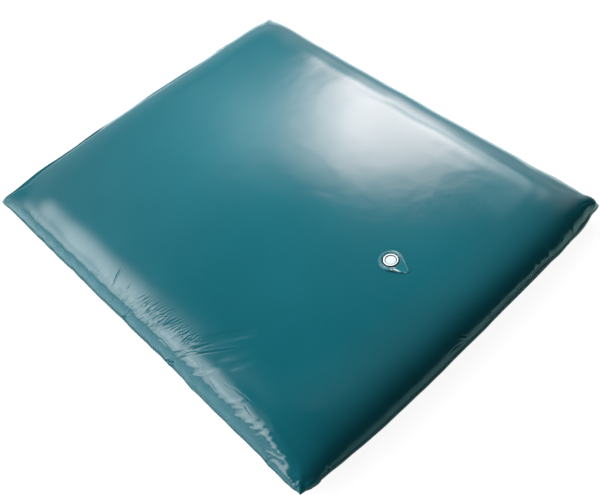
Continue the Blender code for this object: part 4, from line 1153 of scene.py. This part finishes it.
def fibre_material():
    """White polyester batting: matted strands with lighter tufts."""
    skin = Surface("batting", Specular_IOR_Level=0.2, Sheen_Weight=0.35)
    stretched = skin.named("ShaderNodeMapping", Vector=skin.place, **FIBRE_STRETCH)
    strands, tufts = skin.noise(stretched, *STRANDS), skin.cloud(*TUFTS)
    shade = skin.add(skin.ramp(strands, *CLOUDS, 0, 0.6), skin.ramp(tufts, *CLOUDS, 0, 0.4))
    return skin.look(Base_Color=skin.mix(shade, *BATTING), Normal=skin.bump(shade, *FIBRE_BUMP),
                     Roughness=skin.ramp(strands, *CLOUDS, *FIBRE_ROUGH))


def webbing_material():
    """White strap webbing: warp ribs crossed by the weft."""
    skin = Surface("webbing", Specular_IOR_Level=0.3, Sheen_Weight=0.2)
    weave = []
    for axis in ("X", "Y"):
        wave = skin.node("ShaderNodeTexWave", skin.place, WEAVE_SCALE, WEAVE_DISTORTION,
                         wave_type="BANDS", bands_direction=axis)
        weave.append(wave.outputs["Fac"])
    cloth = skin.times(*weave)
    return skin.look(Base_Color=skin.mix(cloth, *CLOTH), Roughness=skin.ramp(cloth, 0, 1, *WEAVE_ROUGH),
                     Normal=skin.bump(cloth, *WEAVE_BUMP))


def water_material():
    skin = Surface("water", IOR=1.33, Transmission_Weight=1.0)
    cloud = skin.cloud(*WATER_CLOUD)
    return skin.look(Base_Color=skin.mix(cloud, *WATER), Roughness=skin.ramp(cloud, *CLOUDS, *WATER_ROUGH))


def dress(piece, material, slot, *nodes):
    """Finish a new piece that rides on the mattress and stands for CAD nodes."""
    paint(piece, material)
    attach(piece, "mattress")
    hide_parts(*nodes)
    return piece


def main():
    bpy.context.scene.view_settings.view_transform = "Standard"
    make_camera()
    make_floor()
    make_world()
    make_lamps()
    shape_shell()
    vinyl = vinyl_material("vinyl", VINYL, VINYL_GLOSS)
    reinforced = vinyl_material("gusset_vinyl", GUSSET_VINYL, GUSSET_GLOSS)
    dress(make_top(), vinyl, "vinyl", "top_panel")
    dress(make_bottom(), vinyl, "vinyl", "bottom_panel")
    dress(make_water(), water_material(), "water", "water_fill")
    dress(make_plate(), plate_material(), "clear_vinyl", "valve_flange")
    batting, webbing = fibre_material(), webbing_material()
    for level, name in enumerate(("lower", "middle", "upper")):
        layer = make_fibre(f"batting_{name}", PACK_BASE + level * (FIBRE_THICKNESS + GAP))
        dress(layer, batting, "fibre", f"fibre_layer_{name}")
    for end_name, end in (("foot", -1), ("head", 1)):
        for side_name, side in (("left", -1), ("right", 1)):
            corner = f"{end_name}_{side_name}"
            gusset = make_gusset(f"gusset_{corner}", side, end)
            dress(gusset, reinforced, "gusset", f"corner_gusset_{corner}")
            strap = make_strap(f"webbing_{corner}", side, end)
            dress(strap, webbing, "webbing", f"tether_strap_{corner}")
            paint(NODES[f"tether_tab_{corner}"], reinforced)
    for node, *look in PLASTICS:
        paint(NODES[node], plain_plastic(*look))


main()
